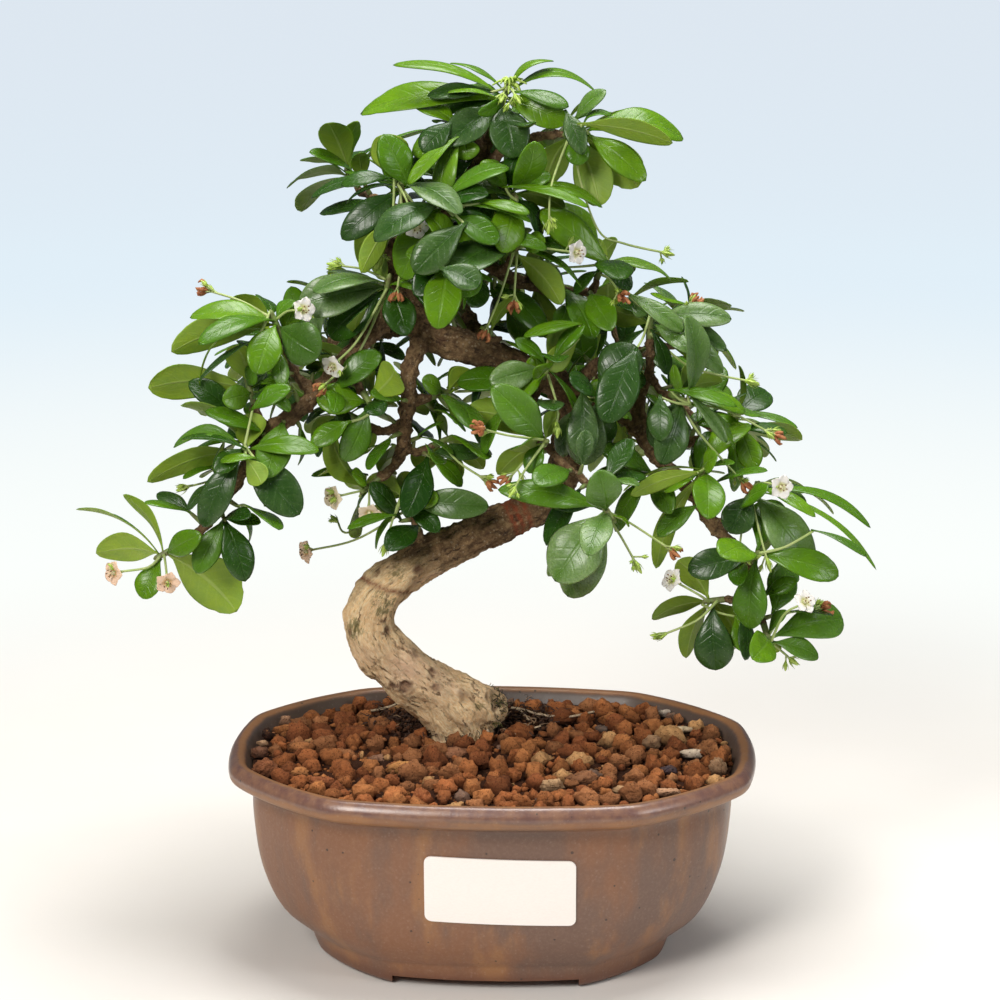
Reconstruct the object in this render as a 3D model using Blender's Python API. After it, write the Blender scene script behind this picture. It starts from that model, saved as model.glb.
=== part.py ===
"""Fukien tea bonsai in a brown-glazed stoneware pot, in metres with +Z up."""

import math
import random

import bmesh
import bpy
from mathutils import Vector, noise
from mathutils.bvhtree import BVHTree

MM = 0.001
GAP = 0.3 * MM

# The middle of the pot, seen from the middle of the whole object's box.
POT_PLACE = Vector((4.7, -17.7, 0.0)) * MM

# The tree's own frame in the pot: its tables below are in this frame's millimetres.
TREE_PLACE = Vector((-1.4, 21.2, -10.9)) * MM
TREE_TURN = math.radians(3.0)
TREE_SCALE = 1.027

# Pot: a bowed rectangle with canted corners.
POT_HALF_WIDTH = 99.0 * MM
POT_HALF_DEPTH = 75.5 * MM
FRONT_PANEL_HALF = 54.0 * MM
SIDE_PANEL_HALF = 32.0 * MM
FRONT_BOW = 5.0 * MM
CORNER_BOW = 3.5 * MM
SIDE_BOW = 3.5 * MM
PANEL_STEPS = (2, 4, 3)
# The wall's profile: how far in from the lip at the ends, at the front and back, and the height.
POT_OUTSIDE = (
    (37.5, 24.5, 0.0),
    (34.5, 22.0, 3.0),
    (28.0, 18.0, 11.5),
    (20.5, 14.5, 17.0),
    (15.5, 12.3, 25.0),
    (11.0, 10.2, 38.0),
    (9.0, 9.0, 57.0),
    (9.4, 9.4, 67.4),
    (5.0, 5.0, 69.0),
    (0.6, 0.6, 71.0),
    (0.4, 0.4, 74.4),
    (3.2, 3.2, 76.0),
)
POT_INSIDE = (
    (6.4, 6.4, 75.2),
    (8.6, 8.6, 71.6),
    (12.5, 12.5, 65.0),
    (17.0, 15.8, 40.0),
    (22.0, 19.0, 22.0),
    (40.0, 34.0, 12.0),
)
FLOOR_TOP = POT_INSIDE[-1][2] * MM
FOOT_LIFT = 4.0 * MM
FOOT_SPAN_X = 68.0 * MM
FOOT_SPAN_Y = 36.0 * MM
DRAIN_HOLE_X = 32.0 * MM
DRAIN_HOLE_RADIUS = 8.0 * MM
DRAIN_HOLE_SIDES = 12
DRAIN_MESH_SIDE = 30.0 * MM
DRAIN_MESH_THICK = 1.0 * MM
DRAIN_MESH_HOLES = 2

# Label: a bare card that follows the pot's front and bends with the profile's sixth level.
LABEL_MIDDLE_X = 6.0 * MM
LABEL_HALF_WIDTH = 27.0 * MM
LABEL_BOTTOM = 29.5 * MM
LABEL_TOP = 54.8 * MM
LABEL_CORNER = 2.5 * MM
LABEL_THICK = 0.4 * MM
LABEL_GAP = 0.4 * MM
LABEL_LEAN = math.radians(1.5)
LABEL_BEND = 5

# Soil: granules of baked clay, level with the lip.
SOIL_LEVEL = 71.2 * MM
SOIL_MOUND = 2.6 * MM
SOIL_RELIEF = 2.6 * MM
SOIL_RINGS = 6
GRAIN = 9.0 * MM
SOIL_GAP = 0.5
SOIL_SEAT = 0.35

# Buried root stock, and the plain hole that it stands in.
STOCK_MIDDLE = Vector((-10.7, 0.5, 0.0)) * MM
STOCK_BOTTOM = 50.0 * MM
STOCK_TOP = 80.0 * MM
STOCK_RADIUS_LOW = 9.0 * MM
STOCK_RADIUS_TOP = 12.3 * MM
STOCK_SIDES = 12
STOCK_CLEARANCE = 0.4 * MM
STOCK_HOLE_FLARE = 0.06
STOCK_HOLE_TOP = 140.0 * MM

# Wood: each limb's route in millimetres (right, away, up) with its radius there.
TRUNK = (
    (-11, 1, 75, 11.0),
    (-11, 1, 84, 12.2),
    (-15, -1, 94, 11.8),
    (-23, -3, 101, 11.0),
    (-32, -6, 108, 10.2),
    (-40, -8, 116, 9.8),
    (-45, -9, 126, 9.4),
    (-42, -9, 137, 8.6),
    (-29, -6, 148, 7.7),
    (-12, -3, 156, 7.3),
    (7, 0, 164, 6.9),
    (20, 5, 170, 6.7),
    (26, 9, 179, 6.6),
    (28, 11, 190, 6.4),
    (29, 10, 202, 6.0),
    (24, 5, 213, 5.4),
    (10, 0, 221, 5.3),
    (-4, -3, 227, 5.7),
    (-19, -3, 232, 6.2),
    (-29, 0, 241, 5.8),
    (-34, 4, 253, 4.6),
    (-37, 6, 267, 3.9),
)
LIMBS = {
    "leader": ((-32, 2, 246, 4.4), (-29, 4, 260, 4.0), (-24, 4, 271, 3.6), (-16, 6, 280, 3.2), (-7, 6, 289, 2.8),
               (-2, 4, 300, 2.4), (2, 2, 311, 1.7)),
    "left": ((-30, 0, 242, 4.0), (-42, -8, 236, 3.3), (-51, -13, 227, 3.1), (-62, -20, 215, 3.0), (-69, -24, 209, 3.1),
             (-79, -28, 202, 2.5), (-86, -31, 192, 2.4), (-92, -33, 183, 2.2), (-99, -35, 174, 2.0),
             (-105, -36, 166, 1.8), (-111, -37, 163, 1.5)),
    "descending": ((-25, -4, 232, 3.4), (-29, -10, 223, 3.0), (-30, -12, 213, 2.8), (-31, -12, 203, 2.6),
                   (-32, -12, 194, 2.3), (-35, -13, 187, 1.9), (-40, -14, 183, 1.5)),
    "cross": ((-29, 3, 259, 3.0), (-11, 6, 261, 2.5), (10, 12, 250, 2.3), (25, 16, 246, 2.1), (35, 13, 246, 1.7)),
    "right": ((29, 9, 204, 4.6), (40, 10, 206, 3.9), (47, 7, 203, 3.6), (54, 3, 197, 3.4), (59, -2, 190, 3.2),
              (64, -5, 184, 2.9), (72, -9, 177, 2.6), (77, -12, 170, 2.6), (81, -14, 164, 2.4), (86, -16, 159, 2.1),
              (91, -18, 152, 1.9), (95, -20, 146, 1.7), (97, -22, 137, 1.4)),
    "upright": ((54, 3, 197, 2.3), (54, 3, 208, 2.0), (57, 1, 219, 1.8), (57, -1, 231, 1.5)),
    "outer": ((59, 0, 191, 2.0), (73, 6, 192, 1.7), (83, 9, 193, 1.4)),
    "hanging": ((10, -4, 221, 2.0), (14, -16, 212, 1.6), (17, -24, 200, 1.5), (25, -31, 192, 1.4), (32, -35, 187, 1.3),
                (37, -39, 181, 1.2)),
    "gnarled": ((28, 8, 209, 3.0), (33, -1, 216, 2.6), (38, -8, 224, 1.9)),
    "behind": ((-2, -2, 226, 3.6), (-8, 20, 233, 2.8), (-12, 38, 240, 2.2), (-14, 52, 250, 1.6)),
    "behind_left": ((-27, -1, 236, 3.4), (-46, 18, 230, 2.8), (-62, 34, 222, 2.2), (-74, 46, 214, 1.6)),
    "behind_right": ((28, 10, 195, 3.6), (40, 30, 208, 2.8), (52, 46, 216, 2.2), (66, 56, 218, 1.6)),
    "behind_low": ((52, 46, 216, 1.9), (66, 40, 202, 1.6), (80, 36, 192, 1.4)),
    "behind_crown": ((-17, 6, 279, 2.4), (-8, 24, 281, 2.0), (2, 38, 284, 1.5)),
    "crown_left": ((-24, 4, 270, 2.3), (-36, 16, 276, 1.9), (-46, 26, 280, 1.4)),
    "crown_right": ((-7, 6, 289, 2.0), (6, -1, 300, 1.9), (17, -3, 304, 1.7), (25, -5, 305, 1.4)),
}
TRUNK_SIDES = 12
TRUNK_STEP = 10.5 * MM
LIMB_STEP = 12.0 * MM
LIMB_SIDES = 6
SPUR_SIDES = 4
SPUR_RADII = (1.9 * MM, 1.35 * MM)
SPUR_SAG = 0.22
SPUR_SHARE = 0.8
LIMB_END = 5.0 * MM
STUB_RADII = (1.8 * MM, 1.6 * MM, 1.25 * MM)
STUBS = (((-62, -20, 215), (-71, -21, 223)), ((-79, -28, 202), (-85, -25, 210)), ((81, -14, 164), (90, -13, 171)),
         ((-9, -3, 229), (3, -5, 232)), ((-2, 4, 300), (-7, 0, 302)), ((-30, -12, 210), (-22, -11, 212)))
LUMPS = 0.09
LUMP_SIZE = 11.0 * MM

# Green growth.
STEM_RADIUS = 1.3 * MM
STEM_SIDES = 5
STEM_FOOT = 1.6 * MM
STEM_ROW = 1.5 * MM
STEM_TIP = 1.8 * MM
STEM_USE = 2.6
LEAF_THICK = 1.0 * MM
LEAF_OUTLINE = ((0.0, 0.10), (0.32, 0.64), (0.64, 1.0), (0.89, 0.80))
SMALL_OUTLINE = ((0.0, 0.10), (0.40, 0.74), (0.78, 1.0))
SMALL_LEAF = 24.0 * MM
FREE_BLADE = (0.10, 0.14)
LEAF_RATIO = (0.43, 0.52)
LEAF_FULLNESS = 1.12
PETIOLE_WIDTH = 1.5 * MM
LEAF_FOLD = 0.16
LEAF_ARCH = 0.13
STALK_RADIUS = 0.5 * MM
STALK_RISE = 1.2 * MM
STALK_FREE = 0.25
STALK_SIDES = 4
ENDS = {
    "bud": ((1.0, 1.1), (2.8, 1.0), (4.2, 0.3)),
    "dry": ((1.4, 1.0), (3.8, 2.3), (4.9, 0.9)),
    "flower": ((1.0, 1.0), (2.2, 1.1)),
}
PETALS = 5
COROLLA_RADIUS = 4.2 * MM
COROLLA_THICK = 0.8 * MM
COROLLA_LIFT = 1.2 * MM
COROLLA_CLEFT = 0.42
GOLDEN_ANGLE = math.radians(137.5)
SEARCH_MARGIN = 0.35 * MM
OWN_MARGIN = 0.1 * MM
MOVES_AWAY = (0, 4, -4, 8, -8, 12, -12, 16)
MOVES_UP = (0, 3, -3, 6, -6, 9)
MOVES_RIGHT = (0, 3, -3, 6)
AWAY_COST = 0.45
LEAF_SCALES = (1.0, 0.86, 0.72)
ROW_COST = 0.15

# Leaves that the rule adds: how they rise from the lowest to the highest, in degrees, and their lengths.
RULE_RISE = (5.0, 65.0)
RULE_RISE_SPREAD = 8.0
RULE_LENGTH = (25.0 * MM, 36.0 * MM)
RULE_SHORTER = 0.25

# Leafy shoots. "at" is the spur's end in millimetres (right, away, up). Each leaf gives its tip from there
# (right, up, away) and its face: 0 shows its upper side to the front, 90 lies flat, 180 shows its underside.
# Two more values may give its width and its arch. "more" is how many leaves the rule adds all round.
# A stalk is its route's turning points in the same way, and what it ends in.
SHOOTS = {
    "left_end": {
        "at": (-113, -37, 164),
        "leaves": ((20, -25, 4, 165, 19), (-30, -4, 6, 155, 13), (-12, -17, -8, 25, 9), (-36, 13, 2, 105, 10),
                   (-20, 17, 8, 130, 7), (10, 8, -14, 20, 8)),
        "stalks": (("flower", (-10, -6, -6), (-19, -7, -8)), ("flower", (-3, -8, -10))),
    },
    "left_low": {
        "at": (-86, -37, 195),
        "leaves": ((19, -18, -10, 15, 13), (-36, -10, 6, 150, 10), (-15, -23, -8, 20, 10), (-25, 5, -6, 65, 8, 0.3),
                   (26, 4, -6, 50, 8), (0, 14, 10, 150, 11), (4, -10, 8, 150, 8), (-10, -2, -14, 40, 7)),
        "stalks": (("bud", (-12, -9, 4), (-22, -13, 4)), ("bud", (-12, -9, -4), (-20, -16, -4))),
    },
    "left_mid": {
        "at": (-84, -25, 212),
        "more": 2,
        "leaves": ((-38, 5, 4, 150, 14), (-32, 2, 14, 120, 8), (1, 13, -4, 60, 7), (13, 8, -4, 90, 6),
                   (13, -1, -10, 90, 7), (-10, 4, -14, 30, 8)),
    },
    "left_top": {
        "at": (-74, -22, 235),
        "leaves": ((14, -4, -12, 10, 15), (-32, 8, -4, 60, 11), (-40, -6, 6, 150, 12), (-30, 2, -12, 75, 9),
                   (-29, -1, 16, 140, 9), (-29, -16, -2, 90, 6, 0.3), (-8, 13, -2, 50, 9), (4, 13, 4, 50, 8),
                   (-8, -10, -12, 20, 11), (-1, -14, 4, 150, 10)),
        "stalks": (("flower", (6, 11, -6)), ("dry", (-14, 12, 4), (-24, 15, 4)), ("bud", (-22, -4, -8), (-36, -12, -8))),
    },
    "left_inner": {
        "at": (-38, -13, 248),
        "more": 1,
        "leaves": ((-30, -2, -6, 25, 14), (-20, -14, -4, 15, 12), (8, -12, -10, 20, 11), (16, 4, -6, 60, 6),
                   (-6, 14, 8, 130, 10)),
        "stalks": (("flower", (-9, -13, -10), (-16, -20, -14)), ("dry", (-12, -18, -4), (-25, -27, -6)),
                   ("bud", (-15, 9, -4))),
    },
    "left_under": {
        "at": (-46, -19, 215),
        "more": 3,
        "leaves": ((-16, -1, -8, 25, 11), (-20, 12, 14, 150, 10), (7, -6, -8, 30, 8), (-8, 13, 12, 140, 10)),
    },
    "middle_left": {
        "at": (-48, -4, 202),
        "more": 3,
        "leaves": ((-17, -9, 3, 150, 11), (1, -14, 4, 155, 13), (-19, -1, -3, 85, 6, 0.25), (14, 4, 4, 110, 7),
                   (12, -3, 9, 120, 8)),
    },
    "middle_low": {
        "at": (-43, -15, 184),
        "more": 2,
        "leaves": ((-23, 0, 2, 120, 7, 0.25), (-12, -6, 9, 140, 9), (-10, 3, -8, 60, 7), (10, 6, 7, 120, 8)),
        "stalks": (("flower", (-8, -4, -6), (-14, -5, -8)), ("flower", (-4, -9, -6))),
    },
    "trunk_spur": {
        "at": (-29, -10, 168),
        "leaves": ((28, 5, -8, 20, 10), (-14, 11, 2, 155, 11), (-4, 15, 4, 150, 9), (10, 8, -8, 40, 7),
                   (16, 0, -1, 90, 6), (-23, -4, 2, 140, 7), (-13, -12, -4, 80, 6), (10, -4, -10, 45, 7)),
        "stalks": (("flower", (-20, -8, -2), (-36, -11, -4)), ("bud", (-26, -12, 2), (-34, -13, 2)), ("bud", (-9, -8, -9))),
    },
    "middle_right": {
        "at": (-22, -8, 211),
        "more": 3,
        "leaves": ((15, 10, 2, 150, 9), (20, 4, 5, 120, 8), (10, -11, 4, 130, 6), (18, -17, -2, 80, 6),
                   (-3, 8, -8, 60, 7)),
    },
    "middle_inner": {
        "at": (-22, -8, 193),
        "more": 3,
        "leaves": ((-5, -10, 6, 160, 10), (9, -14, 2, 140, 7), (16, -10, 7, 150, 9), (5, 9, 10, 140, 9)),
        "stalks": (("dry", (10, -4, -8), (18, -9, -10)),),
    },
    "apex": {
        "at": (3, 1, 315),
        "leaves": ((-49, 0, 5, 45, 13), (35, 8, 2, 75, 10, 0.25), (20, 19, 0, 75, 8, 0.25), (-37, 18, -4, 65, 8),
                   (-17, 18, 4, 80, 8), (6, -14, -12, 15, 13), (-26, 2, -8, 25, 10), (-19, -9, -13, 20, 11),
                   (24, -2, -9, 25, 10), (28, -7, 7, 60, 8), (-20, 5, 12, 80, 7), (-7, 2, -14, 10, 5)),
        "stalks": (("bud", (2, 8, -7)), ("bud", (6, 2, -12))),
    },
    "apex_right": {
        "at": (28, -5, 306),
        "leaves": ((43, -2, 0, 45, 13, 0.2), (38, -3, 10, 135, 11, 0.22), (27, -19, 2, 150, 14), (13, -25, -4, 160, 13),
                   (5, -10, -9, 15, 8), (5, -15, 7, 100, 7), (17, 7, -5, 80, 6, 0.3), (-6, -16, 7, 150, 12)),
        "stalks": (("bud", (6, -15, -8), (13, -34, -10), (22, -39, -10), (36, -43, -8)), ("bud", (-4, -16, -8), (-5, -28, -9))),
    },
    "apex_left": {
        "at": (-8, -3, 303),
        "more": 4,
        "leaves": ((-20, -5, -5, 30, 9), (-24, -17, -7, 60, 6), (-9, -6, -10, 20, 8), (-12, 8, 8, 60, 9)),
    },
    "crown_spur": {
        "at": (-31, -7, 283),
        "more": 1,
        "leaves": ((-8, 22, 0, 165, 14), (-33, 0, -2, 70, 6), (-22, 5, -7, 60, 7), (-21, -3, 5, 80, 6),
                   (-22, -14, -7, 20, 10), (-16, -27, 4, 150, 11)),
        "stalks": (("flower", (4, -3, -10)), ("dry", (0, -14, -9), (-2, -29, -9)), ("bud", (-4, -10, -6), (-8, -20, -6)),
                   ("bud", (6, -8, -10), (6, -20, -10))),
    },
    "crown_front": {
        "at": (-17, -13, 280),
        "more": 3,
        "leaves": ((-15, -24, -8, 15, 14), (16, 6, -10, 50, 8), (31, -4, -9, 60, 7), (20, -12, -7, 20, 9),
                   (-5, 10, -6, 50, 8)),
    },
    "crown_inner": {
        "at": (4, -5, 286),
        "more": 4,
        "leaves": ((35, -6, -4, 70, 8, 0.2), (17, 5, -5, 50, 8), (22, -8, 7, 140, 9), (5, 12, -10, 30, 9),
                   (-8, 10, -6, 40, 9)),
    },
    "right_high": {
        "at": (38, 7, 252),
        "more": 3,
        "leaves": ((-22, 24, -7, 160, 13), (2, 13, 6, 140, 8), (8, 12, 12, 150, 8), (14, 1, 9, 130, 8),
                   (12, -3, -8, 40, 7), (-8, -5, -6, 60, 6)),
        "stalks": (("bud", (-10, 5, -7), (-18, 6, -8)), ("dry", (7, -2, -13))),
    },
    "heart": {
        "at": (7, -6, 262),
        "more": 2,
        "leaves": ((12, 6, -8, 50, 8), (-5, 13, -8, 30, 9), (25, -11, -4, 70, 6, 0.15), (18, -18, 2, 150, 10),
                   (-12, 4, -8, 40, 8)),
        "stalks": (("flower", (10, 4, -8), (20, 3, -10)), ("dry", (1, -12, -11)), ("dry", (-4, -12, -12), (-8, -22, -13))),
    },
    "heart_left": {
        "at": (-16, -17, 260),
        "more": 4,
        "leaves": ((11, -8, -12, 15, 11), (-11, -8, -12, 20, 10), (16, 7, -6, 20, 9), (6, -15, -4, 70, 5),
                   (-14, 6, -6, 40, 8)),
    },
    "front_low": {
        "at": (39, -41, 180),
        "leaves": ((-15, -27, -8, 15, 18), (-10, -37, 0, 20, 16), (-35, 5, -8, 40, 10), (0, 13, -12, 15, 12),
                   (-7, -23, -15, 20, 10), (-17, -31, 6, 30, 6), (-18, 0, -2, 30, 8), (11, -9, -6, 80, 5)),
        "stalks": (("flower", (-12, -3, -12), (-20, -6, -14)), ("bud", (8, -12, -6), (13, -21, -6)),
                   ("dry", (12, -10, 4), (24, -18, 4))),
    },
    "front_mid": {
        "at": (18, -30, 199),
        "leaves": ((-18, 22, -8, 20, 12), (-27, 8, 6, 150, 12), (6, 10, 4, 140, 8), (-16, -12, 2, 150, 10),
                   (-5, -9, -9, 30, 7)),
        "stalks": (("bud", (-6, -6, -8), (-10, -11, -10)), ("dry", (-10, -7, -3)), ("dry", (-12, 6, -12), (-19, 9, -14))),
    },
    "front_high": {
        "at": (18, -17, 219),
        "more": 2,
        "leaves": ((-19, 1, -9, 30, 10), (-9, -6, -9, 50, 7), (-3, 7, -13, 10, 8), (-10, 15, -2, 60, 6),
                   (15, 20, -2, 45, 7), (11, 17, 7, 160, 12), (13, -17, -4, 70, 6)),
        "stalks": (("bud", (5, -7, -8), (5, -13, -9)),),
    },
    "right_inner": {
        "at": (36, -10, 212),
        "more": 3,
        "leaves": ((15, 19, -2, 20, 15), (-4, -24, -8, 15, 13), (4, -20, 0, 30, 9), (8, -28, 7, 150, 9),
                   (6, 5, -9, 60, 6), (14, -8, -5, 70, 6)),
    },
    "right_top": {
        "at": (57, -2, 235),
        "leaves": ((29, 8, -4, 45, 10), (26, -11, -8, 30, 8, 0.25), (24, -12, 5, 140, 10), (13, -2, -9, 50, 6),
                   (-7, 12, -4, 60, 6), (6, 12, 5, 60, 6), (-12, 12, 4, 60, 6), (-17, 9, 9, 150, 10),
                   (-15, -9, -5, 60, 6), (6, -12, -6, 40, 6)),
        "stalks": (("dry", (8, 6, 2), (13, 11, 2)), ("bud", (14, -9, -5), (34, -14, -6)), ("dry", (16, -10, -7), (36, -22, -8))),
    },
    "right_mid": {
        "at": (64, -8, 212),
        "more": 2,
        "leaves": ((27, -6, -3, 60, 8), (1, 12, -5, 40, 6), (23, -19, -5, 60, 6, 0.2), (-6, -18, -7, 20, 10),
                   (20, 2, 14, 140, 9), (13, 8, 16, 140, 9)),
        "stalks": (("dry", (20, -5, -6), (35, -13, -6)), ("dry", (22, -10, 3), (48, -19, 3)),
                   ("dry", (10, -12, -9), (24, -28, -9)), ("bud", (28, -9, 6), (50, -16, 6))),
    },
    "right_outer": {
        "at": (87, 9, 195),
        "leaves": ((32, -3, 8, 130, 12), (25, 2, 0, 80, 7), (14, -11, 6, 150, 11), (6, -20, -4, 40, 8),
                   (21, -8, -7, 90, 6), (-9, -14, 8, 150, 9), (-10, 7, 3, 60, 8)),
    },
    "right_back": {
        "at": (75, -16, 183),
        "more": 2,
        "leaves": ((-28, -4, -4, 110, 8), (-14, -3, -8, 50, 7), (-16, -32, 2, 150, 9), (8, 11, -8, 50, 8)),
    },
    "right_low": {
        "at": (91, -16, 174),
        "leaves": ((25, -24, -6, 25, 15), (-6, -9, -10, 20, 11), (46, -10, 2, 80, 7, 0.15), (35, -10, 11, 85, 7),
                   (46, -21, -4, 80, 6), (24, -2, -10, 60, 6), (25, 1, 8, 140, 8)),
        "stalks": (("flower", (10, 9, -8)), ("bud", (0, -10, -6), (1, -17, -7)), ("bud", (5, -10, -6), (7, -17, -6))),
    },
    "right_fall": {
        "at": (93, -23, 154),
        "more": 2,
        "leaves": ((-23, -2, -6, 25, 10), (31, -4, -6, 35, 10), (8, 7, 4, 140, 7), (-1, -23, -8, 20, 12)),
    },
    "right_drop": {
        "at": (84, -20, 139),
        "leaves": ((-3, -25, -6, 15, 13), (-17, 14, 2, 150, 11), (-26, -8, 2, 150, 9), (-13, -24, 6, 150, 9),
                   (6, -18, 8, 160, 12)),
        "stalks": (("flower", (-10, 4, -8), (-17, 8, -8)), ("bud", (-10, -6, -6), (-21, -11, -6))),
    },
    "right_end": {
        "at": (98, -24, 131),
        "more": 2,
        "leaves": ((20, -12, -2, 40, 8), (8, 6, -4, 60, 6), (3, -13, 7, 150, 8)),
        "stalks": (("dry", (8, 3, 4), (18, 5, 4)), ("flower", (6, 6, -8), (11, 10, -8)), ("bud", (4, -8, -4), (10, -14, -4)),
                   ("dry", (9, -3, -5), (16, -10, -6))),
    },
    "behind_top": {"at": (-15, 56, 254), "more": 7},
    "behind_up": {"at": (-2, 40, 246), "more": 6},
    "behind_out": {"at": (-80, 50, 215), "more": 7},
    "behind_side": {"at": (-58, 42, 230), "more": 6},
    "behind_far": {"at": (72, 60, 222), "more": 7},
    "behind_near": {"at": (46, 50, 226), "more": 6},
    "behind_edge": {"at": (86, 36, 192), "more": 6},
    "crown_back": {"at": (5, 43, 288), "more": 7},
    "crown_side": {"at": (-50, 30, 283), "more": 7},
}

random_draw = random.Random(11)


def make_material(name, colour, roughness, metallic=0.0):
    material = bpy.data.materials.new(name)
    material.use_nodes = True
    shader = material.node_tree.nodes["Principled BSDF"]
    shader.inputs["Base Color"].default_value = (*colour, 1.0)
    shader.inputs["Roughness"].default_value = roughness
    shader.inputs["Metallic"].default_value = metallic
    return material


def make_object(name, verts, faces, material, parent=None):
    mesh = bpy.data.meshes.new(name)
    mesh.from_pydata([tuple(v) for v in verts], [], faces)
    mesh.materials.append(material)
    mesh.update()
    item = bpy.data.objects.new(name, mesh)
    bpy.context.scene.collection.objects.link(item)
    item.parent = parent
    return item


def soften(item, angle=40.0):
    item.data.shade_smooth()
    item.data.set_sharp_from_angle(angle=math.radians(angle))


def cut(item, name, verts, faces, parent=None):
    """Takes a guide solid away from an object with a Boolean that stays on it."""
    guide = make_object(name, verts, faces, item.data.materials[0], parent)
    guide.hide_render = True
    guide.display_type = "WIRE"
    modifier = item.modifiers.new(name, "BOOLEAN")
    modifier.operation = "DIFFERENCE"
    modifier.object = guide


def box_shape(low, high):
    verts = [Vector((x, y, z)) for z in (low[2], high[2]) for y in (low[1], high[1]) for x in (low[0], high[0])]
    faces = [(0, 2, 3, 1), (4, 5, 7, 6), (0, 1, 5, 4), (2, 6, 7, 3), (0, 4, 6, 2), (1, 3, 7, 5)]
    return verts, faces


def prism_shape(outline, low, high):
    """A straight prism over an outline of (x, y) points that runs anticlockwise."""
    count = len(outline)
    verts = [Vector((x, y, z)) for z in (low, high) for x, y in outline]
    faces = [tuple(reversed(range(count))), tuple(range(count, 2 * count))]
    faces += [(i, (i + 1) % count, count + (i + 1) % count, count + i) for i in range(count)]
    return verts, faces


def circle(middle, radius, sides):
    turn = math.tau / sides
    return [(middle[0] + radius * math.cos(i * turn), middle[1] + radius * math.sin(i * turn)) for i in range(sides)]


def arc(start, end, bow, steps):
    """Points from start up to, but not at, end on an arc that bows to the right of the way there."""
    chord = Vector(end) - Vector(start)
    out = Vector((chord.y, -chord.x)).normalized()
    points = []
    for i in range(steps):
        t = i / steps
        points.append(Vector(start) + chord * t + out * bow * 4.0 * t * (1.0 - t))
    return points


def pot_outline():
    """The lip's outer edge seen from above, anticlockwise from the middle of the right end."""
    a, b = POT_HALF_WIDTH, POT_HALF_DEPTH
    corner_side = (a - SIDE_BOW, SIDE_PANEL_HALF)
    corner_back = (FRONT_PANEL_HALF, b - FRONT_BOW)
    side = arc((a - SIDE_BOW, -SIDE_PANEL_HALF), corner_side, SIDE_BOW, 2 * PANEL_STEPS[2])[PANEL_STEPS[2]:]
    corner = arc(corner_side, corner_back, CORNER_BOW, PANEL_STEPS[1])
    back = arc(corner_back, (-FRONT_PANEL_HALF, b - FRONT_BOW), FRONT_BOW, 2 * PANEL_STEPS[0])[:PANEL_STEPS[0]]
    quarter = side + corner + back
    half = quarter + [Vector((0.0, b))] + [Vector((-p.x, p.y)) for p in reversed(quarter[1:])]
    return half + [Vector((-p.x, -p.y)) for p in half]


def pot_ring(outline, level):
    """The wall's outline at one level of the profile."""
    across = (POT_HALF_WIDTH - level[0] * MM) / POT_HALF_WIDTH
    along = (POT_HALF_DEPTH - level[1] * MM) / POT_HALF_DEPTH
    return [Vector((p.x * across, p.y * along, level[2] * MM)) for p in outline]


def loft(rings):
    """Joins equal rings into one closed shape, with a flat face on the first and the last."""
    count = len(rings[0])
    verts = [point for ring in rings for point in ring]
    faces = [tuple(reversed(range(count)))]
    for k in range(len(rings) - 1):
        base = k * count
        for i in range(count):
            j = (i + 1) % count
            faces.append((base + i, base + j, base + count + j, base + count + i))
    last = (len(rings) - 1) * count
    faces.append(tuple(range(last, last + count)))
    return verts, faces


def profile_at(profile, height):
    """The level of a wall's profile at a height in millimetres."""
    for a, b in zip(profile, profile[1:]):
        low, high = sorted((a[2], b[2]))
        if low <= height <= high and high > low:
            return tuple(Vector(a).lerp(Vector(b), (height - a[2]) / (b[2] - a[2])))
    return profile[-1]


def build_pot(material, place):
    outline = pot_outline()
    rings = [pot_ring(outline, level) for level in POT_OUTSIDE + POT_INSIDE]
    pot = make_object("pot", *loft(rings), material, place)
    span_x, span_y = FOOT_SPAN_X / 2, FOOT_SPAN_Y / 2
    reach = POT_HALF_WIDTH
    cut(pot, "gap_between_feet_front", *box_shape((-span_x, -reach, -reach), (span_x, reach, FOOT_LIFT)), place)
    cut(pot, "gap_between_feet_ends", *box_shape((-reach, -span_y, -reach), (reach, span_y, FOOT_LIFT)), place)
    for side in (-1, 1):
        hole = circle((side * DRAIN_HOLE_X, 0.0), DRAIN_HOLE_RADIUS, DRAIN_HOLE_SIDES)
        cut(pot, "drain_hole_right" if side > 0 else "drain_hole_left", *prism_shape(hole, 0.0, 2 * FLOOR_TOP), place)
    soften(pot)
    return pot


def build_drain_mesh(name, middle_x, material, place):
    """A flat lattice: square holes between bars as wide as the holes."""
    cells = 2 * DRAIN_MESH_HOLES + 1
    step = DRAIN_MESH_SIDE / cells
    low = FLOOR_TOP + GAP
    start = Vector((middle_x - DRAIN_MESH_SIDE / 2, -DRAIN_MESH_SIDE / 2, low))
    row = cells + 1
    layer = row * row
    verts = [
        start + Vector((i * step, j * step, k * DRAIN_MESH_THICK))
        for k in range(2)
        for j in range(row)
        for i in range(row)
    ]

    def solid(i, j):
        return 0 <= i < cells and 0 <= j < cells and (i % 2 == 0 or j % 2 == 0)

    faces = []
    for j in range(cells):
        for i in range(cells):
            if not solid(i, j):
                continue
            a, b, c, d = j * row + i, j * row + i + 1, (j + 1) * row + i + 1, (j + 1) * row + i
            faces.append((a, d, c, b))
            faces.append((a + layer, b + layer, c + layer, d + layer))
            edges = ((a, b, i, j - 1), (b, c, i + 1, j), (c, d, i, j + 1), (d, a, i - 1, j))
            faces += [(p, q, q + layer, p + layer) for p, q, ni, nj in edges if not solid(ni, nj)]
    used = sorted({index for face in faces for index in face})
    order = {index: k for k, index in enumerate(used)}
    faces = [tuple(order[index] for index in face) for face in faces]
    return make_object(name, [verts[index] for index in used], faces, material, place)


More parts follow.
